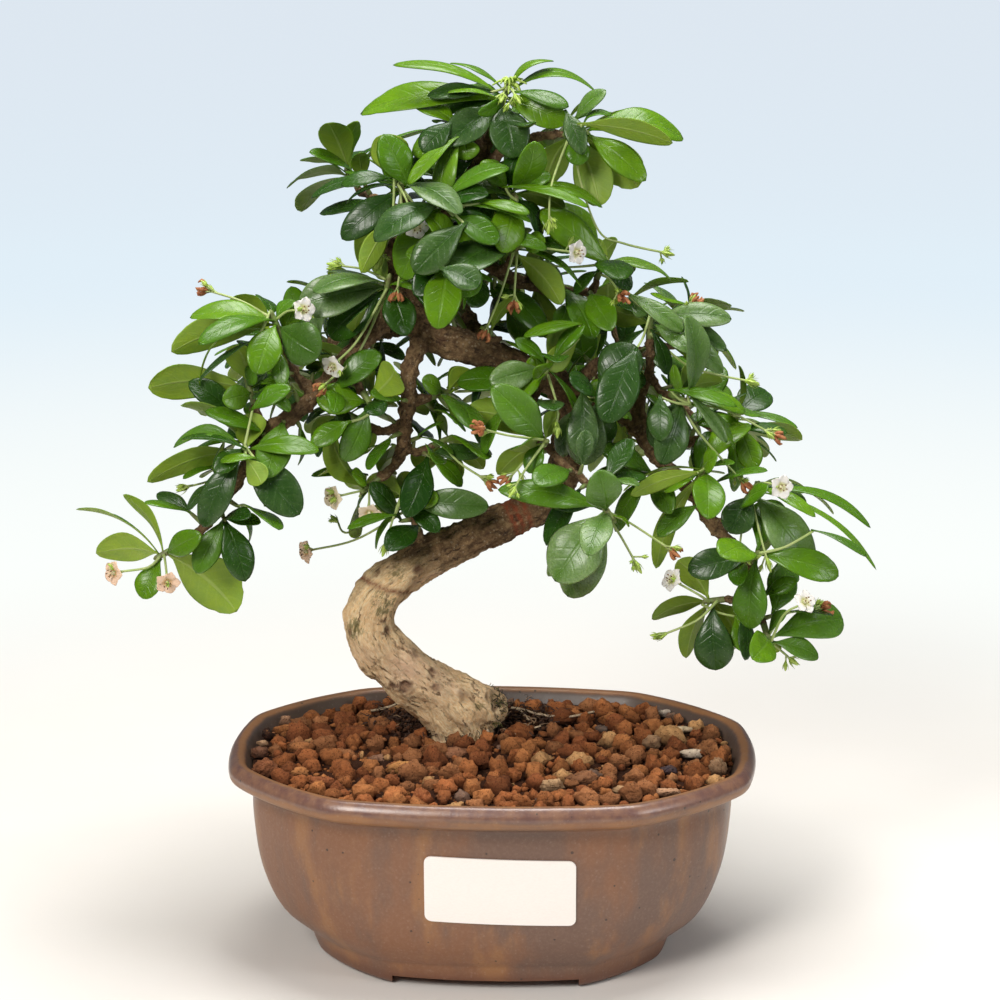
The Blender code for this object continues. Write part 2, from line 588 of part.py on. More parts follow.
def soil_height(x, y, edge):
    """Height of the granules at a place: a low mound, broken by rounded lumps of a granule's size."""
    cell = Vector((x, y, 0.0)) / GRAIN
    lump = noise.cell(cell) - 0.5
    fine = noise.noise(cell * 2.3)
    return SOIL_LEVEL + SOIL_MOUND * (1.0 - edge * edge) + SOIL_RELIEF * (lump + 0.6 * fine) * (1.0 - 0.5 * edge)


def build_soil(material, place, tree):
    outline = pot_outline()
    levels = [level for level in reversed(POT_INSIDE) if level[2] * MM < SOIL_LEVEL]
    wall = [(ends + SOIL_GAP, sides + SOIL_GAP, z + SOIL_SEAT) for ends, sides, z in levels]
    rings = [pot_ring(outline, level) for level in wall]
    edge = profile_at(POT_INSIDE, SOIL_LEVEL / MM)
    brim = pot_ring(outline, (edge[0] + SOIL_GAP, edge[1] + SOIL_GAP, edge[2]))
    rings.append(brim)
    for k in range(1, SOIL_RINGS):
        edge = 1.0 - k / SOIL_RINGS
        turn = 0.5 * (k % 2)
        ring = []
        for i, p in enumerate(brim):
            q = p.lerp(brim[(i + 1) % len(brim)], turn)
            x, y = q.x * edge, q.y * edge
            ring.append(Vector((x, y, soil_height(x, y, edge))))
        rings.append(ring)
    verts, faces = loft(rings)
    count = len(brim)
    last = faces.pop()
    verts.append(Vector((0.0, 0.0, SOIL_LEVEL + SOIL_MOUND)))
    faces += [(last[i], last[(i + 1) % count], len(verts) - 1) for i in range(count)]
    soil = make_object("soil", verts, faces, material, place)
    cut(soil, "stock_hole", *stock_shape(STOCK_HOLE_TOP, STOCK_CLEARANCE, STOCK_HOLE_FLARE), tree)
    recess = DRAIN_MESH_SIDE / 2 + 2 * GAP
    top = FLOOR_TOP + DRAIN_MESH_THICK + 2 * GAP
    for side in (-1, 1):
        middle = side * DRAIN_HOLE_X
        shape = box_shape((middle - recess, -recess, 0.0), (middle + recess, recess, top))
        cut(soil, "mesh_recess_right" if side > 0 else "mesh_recess_left", *shape, place)
    return soil


def build_label(material, place):
    """Columns and rows that follow the bowed front of the pot, with rounded corners."""
    outline = pot_outline()
    half, corner = LABEL_HALF_WIDTH, LABEL_CORNER
    columns = [-half, -half + 0.3 * corner, -half + corner, -0.45 * half, 0.0]
    columns += [-x for x in reversed(columns[:-1])]
    bend = POT_OUTSIDE[LABEL_BEND][2] * MM

    def wall_y(x, z):
        ring = [p for p in pot_ring(outline, profile_at(POT_OUTSIDE, z / MM)) if p.y < 0.0]
        ring.sort(key=lambda p: p.x)
        for a, b in zip(ring, ring[1:]):
            if a.x <= x <= b.x:
                return a.y + (b.y - a.y) * (x - a.x) / (b.x - a.x)
        return ring[0].y

    front, back = [], []
    for x in columns:
        side = max(0.0, abs(x) - (half - corner))
        trim = corner - math.sqrt(max(0.0, corner * corner - side * side))
        lean = -math.tan(LABEL_LEAN) * x
        for z in (LABEL_BOTTOM + trim + lean, bend, LABEL_TOP - trim + lean):
            place_x = LABEL_MIDDLE_X + x
            y = wall_y(place_x, z) - LABEL_GAP
            back.append(Vector((place_x, y, z)))
            front.append(Vector((place_x, y - LABEL_THICK, z)))
    rows = 3
    count = len(back)
    faces = []
    for c in range(len(columns) - 1):
        for r in range(rows - 1):
            a, b = c * rows + r, (c + 1) * rows + r
            faces.append((a, b, b + 1, a + 1))
            faces.append((count + a, count + a + 1, count + b + 1, count + b))
    rim = [c * rows for c in range(len(columns))]
    rim += [(len(columns) - 1) * rows + r for r in range(1, rows)]
    rim += [c * rows + rows - 1 for c in range(len(columns) - 2, -1, -1)]
    rim += [rows - 2]
    faces += [(rim[i], count + rim[i], count + rim[(i + 1) % len(rim)], rim[(i + 1) % len(rim)]) for i in range(len(rim))]
    return make_object("label", front + back, faces, material, place)


def smooth_route(points, spacing):
    """A smooth curve through points with radii, read at about equal steps: (place, radius) pairs."""
    knots = [(Vector(p[:3]) * MM, p[3] * MM) for p in points]
    knots = [knots[0]] + knots + [knots[-1]]
    route = []
    for k in range(1, len(knots) - 2):
        (a, _), (b, rb), (c, rc), (d, _) = knots[k - 1:k + 3]
        steps = max(1, round((c - b).length / spacing))
        for i in range(steps):
            t = i / steps
            place = 0.5 * (2 * b + (c - a) * t + (2 * a - 5 * b + 4 * c - d) * t * t + (3 * b - a - 3 * c + d) * t ** 3)
            route.append((place, rb + (rc - rb) * t))
    route.append(knots[-1])
    return route


def tube_shape(route, sides, lumps=0.0):
    """A tube along a route of (place, radius), its rings turned as little as they can be."""
    places = [place for place, _ in route]
    first = (places[1] - places[0]).normalized()
    side = first.cross(Vector((0.0, 0.0, 1.0)) if abs(first.z) < 0.9 else Vector((1.0, 0.0, 0.0))).normalized()
    rings = []
    for k, (place, radius) in enumerate(route):
        ahead = (places[min(k + 1, len(places) - 1)] - places[max(k - 1, 0)]).normalized()
        side = (side - ahead * side.dot(ahead)).normalized()
        up = ahead.cross(side)
        ring = []
        for i in range(sides):
            angle = math.tau * i / sides
            out = side * math.cos(angle) + up * math.sin(angle)
            swell = 1.0 + lumps * noise.noise((place + out * radius * 2.0) / LUMP_SIZE) * 2.0
            ring.append(place + out * radius * swell)
        rings.append(ring)
    return loft(rings)


def stock_shape(top, grow=0.0, flare=0.0):
    """The buried stock up to a height, or with its growth and flare the hole that it stands in."""
    slope = (STOCK_RADIUS_TOP - STOCK_RADIUS_LOW) / (STOCK_TOP - STOCK_BOTTOM) + flare
    rings = []
    for z in (STOCK_BOTTOM - grow, top):
        radius = STOCK_RADIUS_LOW + grow + slope * (z - STOCK_BOTTOM)
        ring = circle((STOCK_MIDDLE.x, STOCK_MIDDLE.y), radius, STOCK_SIDES)
        rings.append([Vector((x, y, z)) for x, y in ring])
    return loft(rings)


def nearest_on(routes, place):
    """How far the nearest point of any route is, with the route's name and the point's number."""
    return min(((p - place).length, name, k) for name, route in routes.items() for k, (p, _) in enumerate(route))


def spur_route(routes, place):
    """A short spur from the nearest wood to a shoot: it leaves the limb low and turns up at its end."""
    away, name, k = nearest_on(routes, place)
    root, radius = routes[name][k]
    if away < LIMB_END:
        return None, root, (root - routes[name][k - 1][0]).normalized()
    middle = root.lerp(place, 0.5) - Vector((0.0, 0.0, SPUR_SAG * away))
    end = (place - middle).normalized()
    thick = min(SPUR_RADII[0], radius * SPUR_SHARE)
    return [(root, thick), (middle, (thick + SPUR_RADII[1]) / 2), (place, SPUR_RADII[1])], place, end


def keep_main_body(mesh):
    """Fills sealed hollows and drops loose scraps: only the largest connected surface stays."""
    work = bmesh.new()
    work.from_mesh(mesh)
    waiting = set(work.verts)
    bodies = []
    while waiting:
        body = set()
        edge = {waiting.pop()}
        while edge:
            body |= edge
            edge = {link.other_vert(vert) for vert in edge for link in vert.link_edges} - body
        waiting -= body
        bodies.append(body)
    bodies.sort(key=len)
    for body in bodies[:-1]:
        bmesh.ops.delete(work, geom=list(body), context="VERTS")
    work.to_mesh(mesh)
    work.free()


def join(name, shapes, material, parent):
    """One solid from overlapping shapes, by one Boolean union on a collection."""
    first = make_object(name, *shapes[0], material)
    group = bpy.data.collections.new(name + "_parts")
    bpy.context.scene.collection.children.link(group)
    others = []
    for shape in shapes[1:]:
        other = make_object(name + "_part", *shape, material)
        bpy.context.scene.collection.objects.unlink(other)
        group.objects.link(other)
        others.append(other)
    union = first.modifiers.new("union", "BOOLEAN")
    union.operation = "UNION"
    union.operand_type = "COLLECTION"
    union.collection = group
    union.solver = "EXACT"
    depsgraph = bpy.context.evaluated_depsgraph_get()
    joined = bpy.data.meshes.new_from_object(first.evaluated_get(depsgraph))
    joined.name = name
    first.modifiers.clear()
    old = first.data
    first.data = joined
    bpy.data.meshes.remove(old)
    for other in others:
        mesh = other.data
        bpy.data.objects.remove(other)
        bpy.data.meshes.remove(mesh)
    bpy.data.collections.remove(group)
    keep_main_body(joined)
    first.parent = parent
    return first


def bezier(leaf, t):
    root, bend, tip = leaf["root"], leaf["bend"], leaf["tip"]
    return root * (1 - t) ** 2 + bend * 2 * t * (1 - t) + tip * t * t


def blade_rings(leaf, margin=0.0, free=False):
    """Four-cornered rings of a folded, arched blade, from the stem on, and its tip.
    With free set they start where the blade has left the other leaves' roots."""
    rings = []
    outline = SMALL_OUTLINE if (leaf["tip"] - leaf["root"]).length < SMALL_LEAF else LEAF_OUTLINE
    if free:
        outline = (FREE_BLADE, *outline[1:])
    for along, wide in outline:
        middle = bezier(leaf, along)
        ahead = (bezier(leaf, along + 0.02) - middle).normalized()
        side = ahead.cross(leaf["normal"]).normalized()
        up = side.cross(ahead)
        half = max(wide * leaf["width"], PETIOLE_WIDTH) / 2
        fold = up * LEAF_FOLD * half
        thick = up * (LEAF_THICK / 2 + margin)
        half += margin
        rings.append([middle - side * half + fold, middle + thick, middle + side * half + fold, middle - thick])
    ahead = (leaf["tip"] - bezier(leaf, 0.97)).normalized()
    return rings, leaf["tip"] + ahead * margin


def skin(first, rings, tip=None):
    """Faces over four-cornered rings numbered from first, split alike on the upper and the lower side."""
    faces = []
    for k in range(len(rings) - 1):
        a, b = first + 4 * k, first + 4 * (k + 1)
        faces += [(a, a + 1, b + 1), (a, b + 1, b), (a + 1, a + 2, b + 1), (a + 2, b + 2, b + 1)]
        faces += [(a + 2, a + 3, b + 3), (a + 2, b + 3, b + 2), (a + 3, a, b + 3), (a, b, b + 3)]
    last = first + 4 * (len(rings) - 1)
    if tip is None:
        faces.append((last, last + 1, last + 2, last + 3))
    else:
        faces += [(last + i, last + (i + 1) % 4, tip) for i in range(4)]
    return faces


def blade_shape(leaf, margin=0.0, free=False):
    rings, tip = blade_rings(leaf, margin, free)
    verts = [point for ring in rings for point in ring] + [tip]
    return verts, [(3, 2, 1, 0)] + skin(0, rings, len(verts) - 1)


def stalk_rings(route):
    """Four-cornered rings along a stalk's route of (place, radius)."""
    verts, _ = tube_shape(route, STALK_SIDES)
    return [verts[k:k + STALK_SIDES] for k in range(0, len(verts), STALK_SIDES)]


def tree_of(shape):
    verts, faces = shape
    low = Vector([min(v[i] for v in verts) for i in range(3)])
    high = Vector([max(v[i] for v in verts) for i in range(3)])
    return low, high, BVHTree.FromPolygons(verts, faces)


def meets(probe, others):
    low, high, tree = probe
    for other_low, other_high, other in others:
        if any(low[i] > other_high[i] or other_low[i] > high[i] for i in range(3)):
            continue
        if tree.overlap(other):
            return True
    return False


def upper_side(chord, face):
    """The upper side's direction for a leaf that points along chord."""
    front = Vector((0.0, -1.0, 0.0))
    front = (front - chord * front.dot(chord)).normalized()
    top = chord.cross(front)
    if top.z < 0.0:
        top = -top
    turn = math.radians(face)
    return front * math.cos(turn) + top * math.sin(turn)


def shifts():
    """Small moves that clear a leaf of its neighbours, those that show least from the front first."""
    moves = []
    for away in MOVES_AWAY:
        for up in MOVES_UP:
            for right in MOVES_RIGHT:
                moves.append((AWAY_COST * abs(away) + abs(up) + abs(right), away, up, right))
    return [Vector((right, away, up)) * MM for _, away, up, right in sorted(moves)]


SHIFTS = shifts()


class Shoot:
    """A slim green stem in rows of faces. Each leaf or stalk grows from a face of its own."""

    def __init__(self, place, ahead, stalks):
        self.place = place
        self.ahead = ahead
        rows = max(2, math.ceil(stalks / STEM_USE))
        heights = [GAP, GAP + STEM_FOOT] + [GAP + STEM_FOOT + STEM_ROW * (k + 1) for k in range(rows)]
        route = [(place + ahead * height, STEM_RADIUS) for height in heights]
        self.verts, sides = tube_shape(route, STEM_SIDES)
        self.verts.append(place + ahead * (heights[-1] + STEM_TIP))
        top = sides.pop()
        self.faces = sides[:1 + STEM_SIDES]
        self.faces += [(top[i], top[(i + 1) % STEM_SIDES], len(self.verts) - 1) for i in range(STEM_SIDES)]
        self.free = [(k // STEM_SIDES, face) for k, face in enumerate(sides[1 + STEM_SIDES:])]
        self.rows = rows
        self.stem = tree_of((list(self.verts), self.faces + [face for _, face in self.free]))
        self.solids = [self.stem]
        self.blades = []
        self.flowers = []
        self.leaves = []

    def middle(self, face):
        return sum((self.verts[i] for i in face), Vector()) / len(face)

    def roots(self, end):
        """The free faces that look most towards an end, lower ones for what spreads, upper for what climbs."""
        way = (end - self.place).normalized()
        row_wanted = (0.5 + 0.5 * way.dot(self.ahead)) * (self.rows - 1)
        ranked = []
        for row, face in self.free:
            middle = self.middle(face)
            axis = self.place + self.ahead * (middle - self.place).dot(self.ahead)
            ranked.append((ROW_COST * abs(row - row_wanted) - (middle - axis).normalized().dot(way), row, face))
        return [(row, face) for _, row, face in sorted(ranked)[:3]]

    def grow(self, root, rings, tip=None):
        """Joins rings to the free face that they start from, turned as little as can be, if nothing crosses."""
        face = root[1]
        corners = [self.verts[i] for i in face]
        turns = [sum((corners[(i + s) % 4] - rings[0][i]).length_squared for i in range(4)) for s in range(4)]
        turn = turns.index(min(turns))
        face = [face[(i + turn) % 4] for i in range(4)]
        first = len(self.verts)
        verts = self.verts + [point for ring in rings[1:] for point in ring] + ([tip] if tip else [])
        faces = []
        for i in range(4):
            j = (i + 1) % 4
            faces += [(face[i], face[j], first + j), (face[i], first + j, first + i)]
        faces += skin(first, rings[1:], len(verts) - 1 if tip else None)
        standing = self.faces + [other for _, other in self.free if other != root[1]]
        grown = BVHTree.FromPolygons(verts, faces)
        pairs = [(faces[i], standing[j]) for i, j in grown.overlap(BVHTree.FromPolygons(self.verts, standing))]
        pairs += [(faces[i], faces[j]) for i, j in grown.overlap(grown) if i < j]
        if any(not set(a) & set(b) for a, b in pairs):
            return False
        self.free.remove(root)
        self.verts = verts
        self.faces += faces
        return True

    def shape(self):
        return self.verts, self.faces + [face for _, face in self.free]


def make_leaf(root, tip, normal, width, arch):
    chord = tip - root
    along = chord.normalized()
    normal = (normal - along * normal.dot(along)).normalized()
    bend = root.lerp(tip, 0.5) + normal * arch * 2.0 * chord.length
    return {"root": root, "bend": bend, "tip": tip, "normal": normal, "width": width}


def add_leaf(shoot, tip, normal, width, arch, others):
    """Grows a leaf with the first small move that clears it of everything round it."""
    for scale in LEAF_SCALES:
        for shift in SHIFTS:
            end = shoot.place + (tip - shoot.place) * scale + shift
            for root in shoot.roots(end)[:2]:
                leaf = make_leaf(shoot.middle(root[1]), end, normal, width * scale, arch)
                if meets(tree_of(blade_shape(leaf, SEARCH_MARGIN)), others):
                    continue
                if meets(tree_of(blade_shape(leaf, OWN_MARGIN, True)), shoot.blades + [shoot.stem]):
                    continue
                if not shoot.grow(root, *blade_rings(leaf)):
                    continue
                shoot.leaves.append(leaf)
                shoot.blades.append(tree_of(blade_shape(leaf, 0.0, True)))
                shoot.solids.append(tree_of(blade_shape(leaf)))
                return


def rule_leaves(shoot, count):
    """Leaves all round a shoot's axis, a golden angle apart, lower ones flatter and longer."""
    ahead = shoot.ahead
    side = ahead.cross(Vector((0.3, 0.9, 0.1))).normalized()
    other = ahead.cross(side)
    found = []
    start = random_draw.uniform(0.0, math.tau)
    for i in range(count):
        angle = start + i * GOLDEN_ANGLE
        share = i / count
        rise = RULE_RISE[0] + (RULE_RISE[1] - RULE_RISE[0]) * share
        rise = math.radians(rise + random_draw.uniform(-RULE_RISE_SPREAD, RULE_RISE_SPREAD))
        out = side * math.cos(angle) + other * math.sin(angle)
        way = out * math.cos(rise) + ahead * math.sin(rise)
        length = random_draw.uniform(*RULE_LENGTH) * (1.0 - RULE_SHORTER * share)
        normal = (ahead * 0.6 + Vector((0.0, 0.0, 0.8)) - out * 0.2).normalized()
        width = length * random_draw.uniform(*LEAF_RATIO)
        found.append((shoot.place + way * length, normal, width, LEAF_ARCH))
    return found


def stalk_route(root, shoot, way, end, shift):
    """A stalk's route from its root, with the swelling of what it ends in."""
    knots = [root] + [shoot.place + Vector((x, y, z)) * MM for x, z, y in way]
    reach = len(knots) - 1
    knots = [knot + shift * (k / reach) for k, knot in enumerate(knots)]
    if reach == 1:
        knots.insert(1, knots[0].lerp(knots[1], 0.5) + Vector((0.0, 0.0, STALK_RISE)))
    route = [(knot, STALK_RADIUS) for knot in knots]
    ahead = (knots[-1] - knots[-2]).normalized()
    route += [(knots[-1] + ahead * along * MM, radius * MM) for along, radius in ENDS[end]]
    return route, ahead


def corolla_shape(place, ahead, grow=0.0):
    """An open five-lobed flower: a thin shallow star dish whose back faces its stalk."""
    side = ahead.cross(Vector((0.0, 0.0, 1.0)) if abs(ahead.z) < 0.9 else Vector((1.0, 0.0, 0.0))).normalized()
    up = ahead.cross(side)
    back = place - ahead * grow
    points = 3 * PETALS
    verts = []
    for thick in (0.0, COROLLA_THICK + 2.0 * grow):
        verts.append(back + ahead * thick)
        for i in range(points):
            radius = COROLLA_RADIUS * (COROLLA_CLEFT if i % 3 == 0 else 1.0) + grow
            angle = math.tau * i / points
            rim = side * math.cos(angle) + up * math.sin(angle)
            verts.append(back + rim * radius + ahead * (thick + COROLLA_LIFT * radius / COROLLA_RADIUS))
    ring = points + 1
    faces = []
    for i in range(points):
        a, b = 1 + i, 1 + (i + 1) % points
        faces += [(0, b, a), (ring, ring + a, ring + b)]
        faces += [(a, b, ring + b), (a, ring + b, ring + a)]
    return verts, faces


def add_stalk(shoot, way, end, others):
    """Grows a stalk with what it ends in, with the first small move that clears both."""
    for shift in SHIFTS:
        for root in shoot.roots(shoot.place + Vector((way[0][0], way[0][2], way[0][1])) * MM):
            route, ahead = stalk_route(shoot.middle(root[1]), shoot, way, end, shift)
            wide = [(place, radius + SEARCH_MARGIN) for place, radius in route]
            bloom_place = route[-1][0] + ahead * GAP
            probe = [tree_of(tube_shape(wide, STALK_SIDES))]
            start = route[0][0].lerp(route[1][0], STALK_FREE)
            own = [tree_of(tube_shape([(start, STALK_RADIUS)] + route[1:], STALK_SIDES))]
            if end == "flower":
                probe.append(tree_of(corolla_shape(bloom_place, ahead, SEARCH_MARGIN)))
                own.append(probe[-1])
            if any(meets(item, others) for item in probe):
                continue
            if any(meets(item, shoot.blades + [shoot.stem]) for item in own):
                continue
            if not shoot.grow(root, stalk_rings(route)):
                continue
            shoot.blades.append(own[0])
            shoot.solids.append(tree_of(tube_shape(route, STALK_SIDES)))
            if end == "flower":
                bloom = corolla_shape(bloom_place, ahead)
                shoot.flowers.append(bloom)
                shoot.solids.append(tree_of(bloom))
                shoot.blades.append(tree_of(bloom))
            return


def wanted_leaves(shoot, plan):
    """Each leaf's tip, upper side, width and arch, from the table and then from the rule."""
    found = []
    for right, up, away, face, *more in plan.get("leaves", ()):
        tip = shoot.place + Vector((right, away, up)) * MM
        width, arch = (*more, LEAF_ARCH)[:2]
        found.append((tip, upper_side((tip - shoot.place).normalized(), face), width * LEAF_FULLNESS * MM, arch))
    return found + rule_leaves(shoot, plan.get("more", 0))


def grow_shoots(wood):
    """Places every leaf, then every stalk, each clear of all that stands before it."""
    shoots = {}
    for name, plan in SHOOTS.items():
        stalks = len(plan.get("leaves", ())) + plan.get("more", 0) + len(plan.get("stalks", ()))
        shoots[name] = Shoot(*wood["ends"][name], stalks)
    limbs = [tree_of(shape) for shape in wood["shapes"]]

    def foreign(shoot):
        return limbs + [solid for other in shoots.values() if other is not shoot for solid in other.solids]

    for name, plan in SHOOTS.items():
        others = foreign(shoots[name])
        for tip, normal, width, arch in wanted_leaves(shoots[name], plan):
            add_leaf(shoots[name], tip, normal, width, arch, others)
    for name, plan in SHOOTS.items():
        others = foreign(shoots[name])
        for end, *way in plan.get("stalks", ()):
            add_stalk(shoots[name], way, end, others)
    return shoots


def plan_wood():
    """Every limb, stub and spur as an overlapping tube, and the way each shoot sets out."""
    trunk = smooth_route(TRUNK, TRUNK_STEP)
    routes = {name: smooth_route(points, LIMB_STEP) for name, points in LIMBS.items()}
    shapes = [tube_shape(trunk, TRUNK_SIDES, LUMPS), stock_shape(STOCK_TOP)]
    shapes += [tube_shape(route, LIMB_SIDES, LUMPS) for route in routes.values()]
    for root, end in STUBS:
        places = [Vector(root).lerp(Vector(end), t) * MM for t in (0.0, 0.55, 1.0)]
        shapes.append(tube_shape(list(zip(places, STUB_RADII)), SPUR_SIDES + 1))
    routes["trunk"] = trunk
    ends = {}
    for name, plan in SHOOTS.items():
        route, place, ahead = spur_route(routes, Vector(plan["at"]) * MM)
        ends[name] = (place, ahead)
        if route:
            shapes.append(tube_shape(route, SPUR_SIDES))
    return {"shapes": shapes, "ends": ends}


def clear_scene():
    for item in list(bpy.data.objects):
        bpy.data.objects.remove(item)


def build():
    clear_scene()
    place = bpy.data.objects.new("pot_place", None)
    place.location = POT_PLACE
    tree = bpy.data.objects.new("tree_place", None)
    tree.location = TREE_PLACE
    tree.rotation_euler.z = TREE_TURN
    tree.scale = (TREE_SCALE, TREE_SCALE, TREE_SCALE)
    tree.parent = place
    bpy.context.scene.collection.objects.link(place)
    bpy.context.scene.collection.objects.link(tree)
    glaze = make_material("brown_glaze", (0.17, 0.10, 0.07), 0.35)
    clay = make_material("baked_clay", (0.30, 0.11, 0.04), 0.95)
    plastic = make_material("green_plastic", (0.05, 0.14, 0.07), 0.5)
    card = make_material("white_card", (0.86, 0.85, 0.82), 0.55)
    bark = make_material("bark", (0.20, 0.14, 0.08), 0.85)
    green = make_material("leaf_green", (0.05, 0.17, 0.03), 0.3)
    petal = make_material("petal_white", (0.85, 0.80, 0.74), 0.6)
    build_pot(glaze, place)
    build_drain_mesh("drain_mesh_left", -DRAIN_HOLE_X, plastic, place)
    build_drain_mesh("drain_mesh_right", DRAIN_HOLE_X, plastic, place)
    build_soil(clay, place, tree)
    build_label(card, place)
    wood = plan_wood()
    soften(join("wood", wood["shapes"], bark, tree), 60.0)
    blooms = 0
    for name, shoot in grow_shoots(wood).items():
        make_object("shoot_" + name, *shoot.shape(), green, tree)
        for verts, faces in shoot.flowers:
            blooms += 1
            make_object(f"flower_{blooms:02d}", verts, faces, petal, tree)


build()
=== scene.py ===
"""Fukien tea bonsai in its glazed pot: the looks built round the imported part, in metres with +Z up."""

import math
import random

import bmesh
import bpy
import numpy as np
from bpy.props import FloatProperty, FloatVectorProperty, IntProperty, PointerProperty
from mathutils import Euler, Matrix, Vector, kdtree, noise
from mathutils.bvhtree import BVHTree


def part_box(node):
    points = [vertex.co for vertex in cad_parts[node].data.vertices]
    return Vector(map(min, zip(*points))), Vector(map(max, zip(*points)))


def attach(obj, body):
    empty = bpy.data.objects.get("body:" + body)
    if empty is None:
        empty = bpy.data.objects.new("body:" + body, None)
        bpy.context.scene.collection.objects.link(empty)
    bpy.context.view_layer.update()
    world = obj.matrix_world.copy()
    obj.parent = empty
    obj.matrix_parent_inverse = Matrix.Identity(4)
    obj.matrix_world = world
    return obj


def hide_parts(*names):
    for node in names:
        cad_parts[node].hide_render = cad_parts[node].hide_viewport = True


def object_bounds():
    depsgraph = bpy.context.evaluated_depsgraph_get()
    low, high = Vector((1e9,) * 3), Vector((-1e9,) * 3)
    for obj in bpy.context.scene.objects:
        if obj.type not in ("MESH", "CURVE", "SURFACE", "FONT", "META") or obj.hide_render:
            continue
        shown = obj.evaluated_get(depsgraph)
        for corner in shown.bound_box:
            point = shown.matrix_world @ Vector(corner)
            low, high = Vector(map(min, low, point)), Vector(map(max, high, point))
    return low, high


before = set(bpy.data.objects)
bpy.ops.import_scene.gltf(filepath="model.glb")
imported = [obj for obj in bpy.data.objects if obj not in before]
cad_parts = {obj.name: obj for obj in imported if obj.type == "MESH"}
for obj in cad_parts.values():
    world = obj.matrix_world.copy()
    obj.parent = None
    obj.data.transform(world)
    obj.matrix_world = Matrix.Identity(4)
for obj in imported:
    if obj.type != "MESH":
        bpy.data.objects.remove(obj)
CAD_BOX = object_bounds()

bl_info = {
    "name": "Fukien Tea Bonsai",
    "version": (1, 0, 0),
    "blender": (4, 5, 0),
    "location": "View3D > Sidebar > Bonsai",
    "description": "Builds a potted Fukien tea bonsai round its packed solids",
    "category": "Object",
}

MM = 0.001
UP = Vector((0.0, 0.0, 1.0))
SHARP_EDGE = math.radians(50.0)
GROWTH_TURN = math.radians(137.5)

# Where the pot stands, and the tree's own frame in it.
POT_PLACE = Vector((4.7, -17.7, 0.0)) * MM
TREE_PLACE = Vector((-1.4, 21.2, -10.9)) * MM
TREE_TURN = math.radians(3.0)
TREE_SCALE = 1.027
TREE = (
    Matrix.Translation(POT_PLACE + TREE_PLACE)
    @ Matrix.Rotation(TREE_TURN, 4, "Z")
    @ Matrix.Scale(TREE_SCALE, 4)
)
INTO_TREE = TREE.inverted()

# Camera, as the photograph was taken.
LENS = 100.0
SENSOR = 36.0
PICTURE = 1000
SHIFT_X = 0.008
CAMERA_PLACE = Vector((56.5, -1010.8, 405.0)) * MM
CAMERA_TURN = Euler((math.radians(76.7), 0.0, math.radians(3.0)))
CAMERA_FRAME = Matrix.Translation(CAMERA_PLACE) @ CAMERA_TURN.to_matrix().to_4x4()

# Pot, as in the part's source: a bowed rectangle with canted corners. The profile's points are insets from
# the ends and from the front, and the height, in millimetres.
POT_HALF_WIDTH = 99.0 * MM
POT_HALF_DEPTH = 75.5 * MM
FRONT_PANEL_HALF = 54.0 * MM
SIDE_PANEL_HALF = 32.0 * MM
FRONT_BOW = 5.0 * MM
CORNER_BOW = 3.5 * MM
SIDE_BOW = 3.5 * MM
PANEL_STEPS = (14, 24, 12)
ROUGH_PANEL_STEPS = (4, 6, 4)
POT_OUTSIDE = (
    (36.5, 23.0, 0.0), (33.5, 20.6, 1.6), (32.0, 19.6, 5.0), (30.4, 18.9, 9.6), (27.6, 17.4, 11.6),
    (20.5, 14.5, 17.0), (15.5, 12.3, 25.0), (11.0, 10.2, 38.0), (9.0, 9.0, 57.0), (9.7, 9.7, 65.2),
    (6.6, 6.6, 66.4), (1.2, 1.2, 68.8), (0.2, 0.2, 73.0), (2.6, 2.6, 76.5),
)
POT_INSIDE = (
    (6.2, 6.2, 75.9), (8.4, 8.4, 71.8), (12.5, 12.5, 65.0), (17.0, 15.8, 40.0), (22.0, 19.0, 22.0),
    (40.0, 34.0, 12.0),
)
TURN_SHARE = 0.42
FOOT_LIFT = 4.0 * MM
FOOT_SPAN_X = 68.0 * MM
FOOT_SPAN_Y = 36.0 * MM
DRAIN_HOLE_X = 32.0 * MM
DRAIN_HOLE_RADIUS = 8.0 * MM

# Label: a bare card that follows the pot's front.
LABEL_MIDDLE_X = 6.0 * MM
LABEL_HALF_WIDTH = 27.0 * MM
LABEL_BOTTOM = 29.5 * MM
LABEL_TOP = 54.8 * MM
LABEL_CORNER = 2.5 * MM
LABEL_THICK = 0.4 * MM
LABEL_GAP = 0.4 * MM
LABEL_BACK_GAP = 0.1 * MM
LABEL_LEAN = math.radians(1.5)
LABEL_COLUMNS = 36
LABEL_ROWS = 14

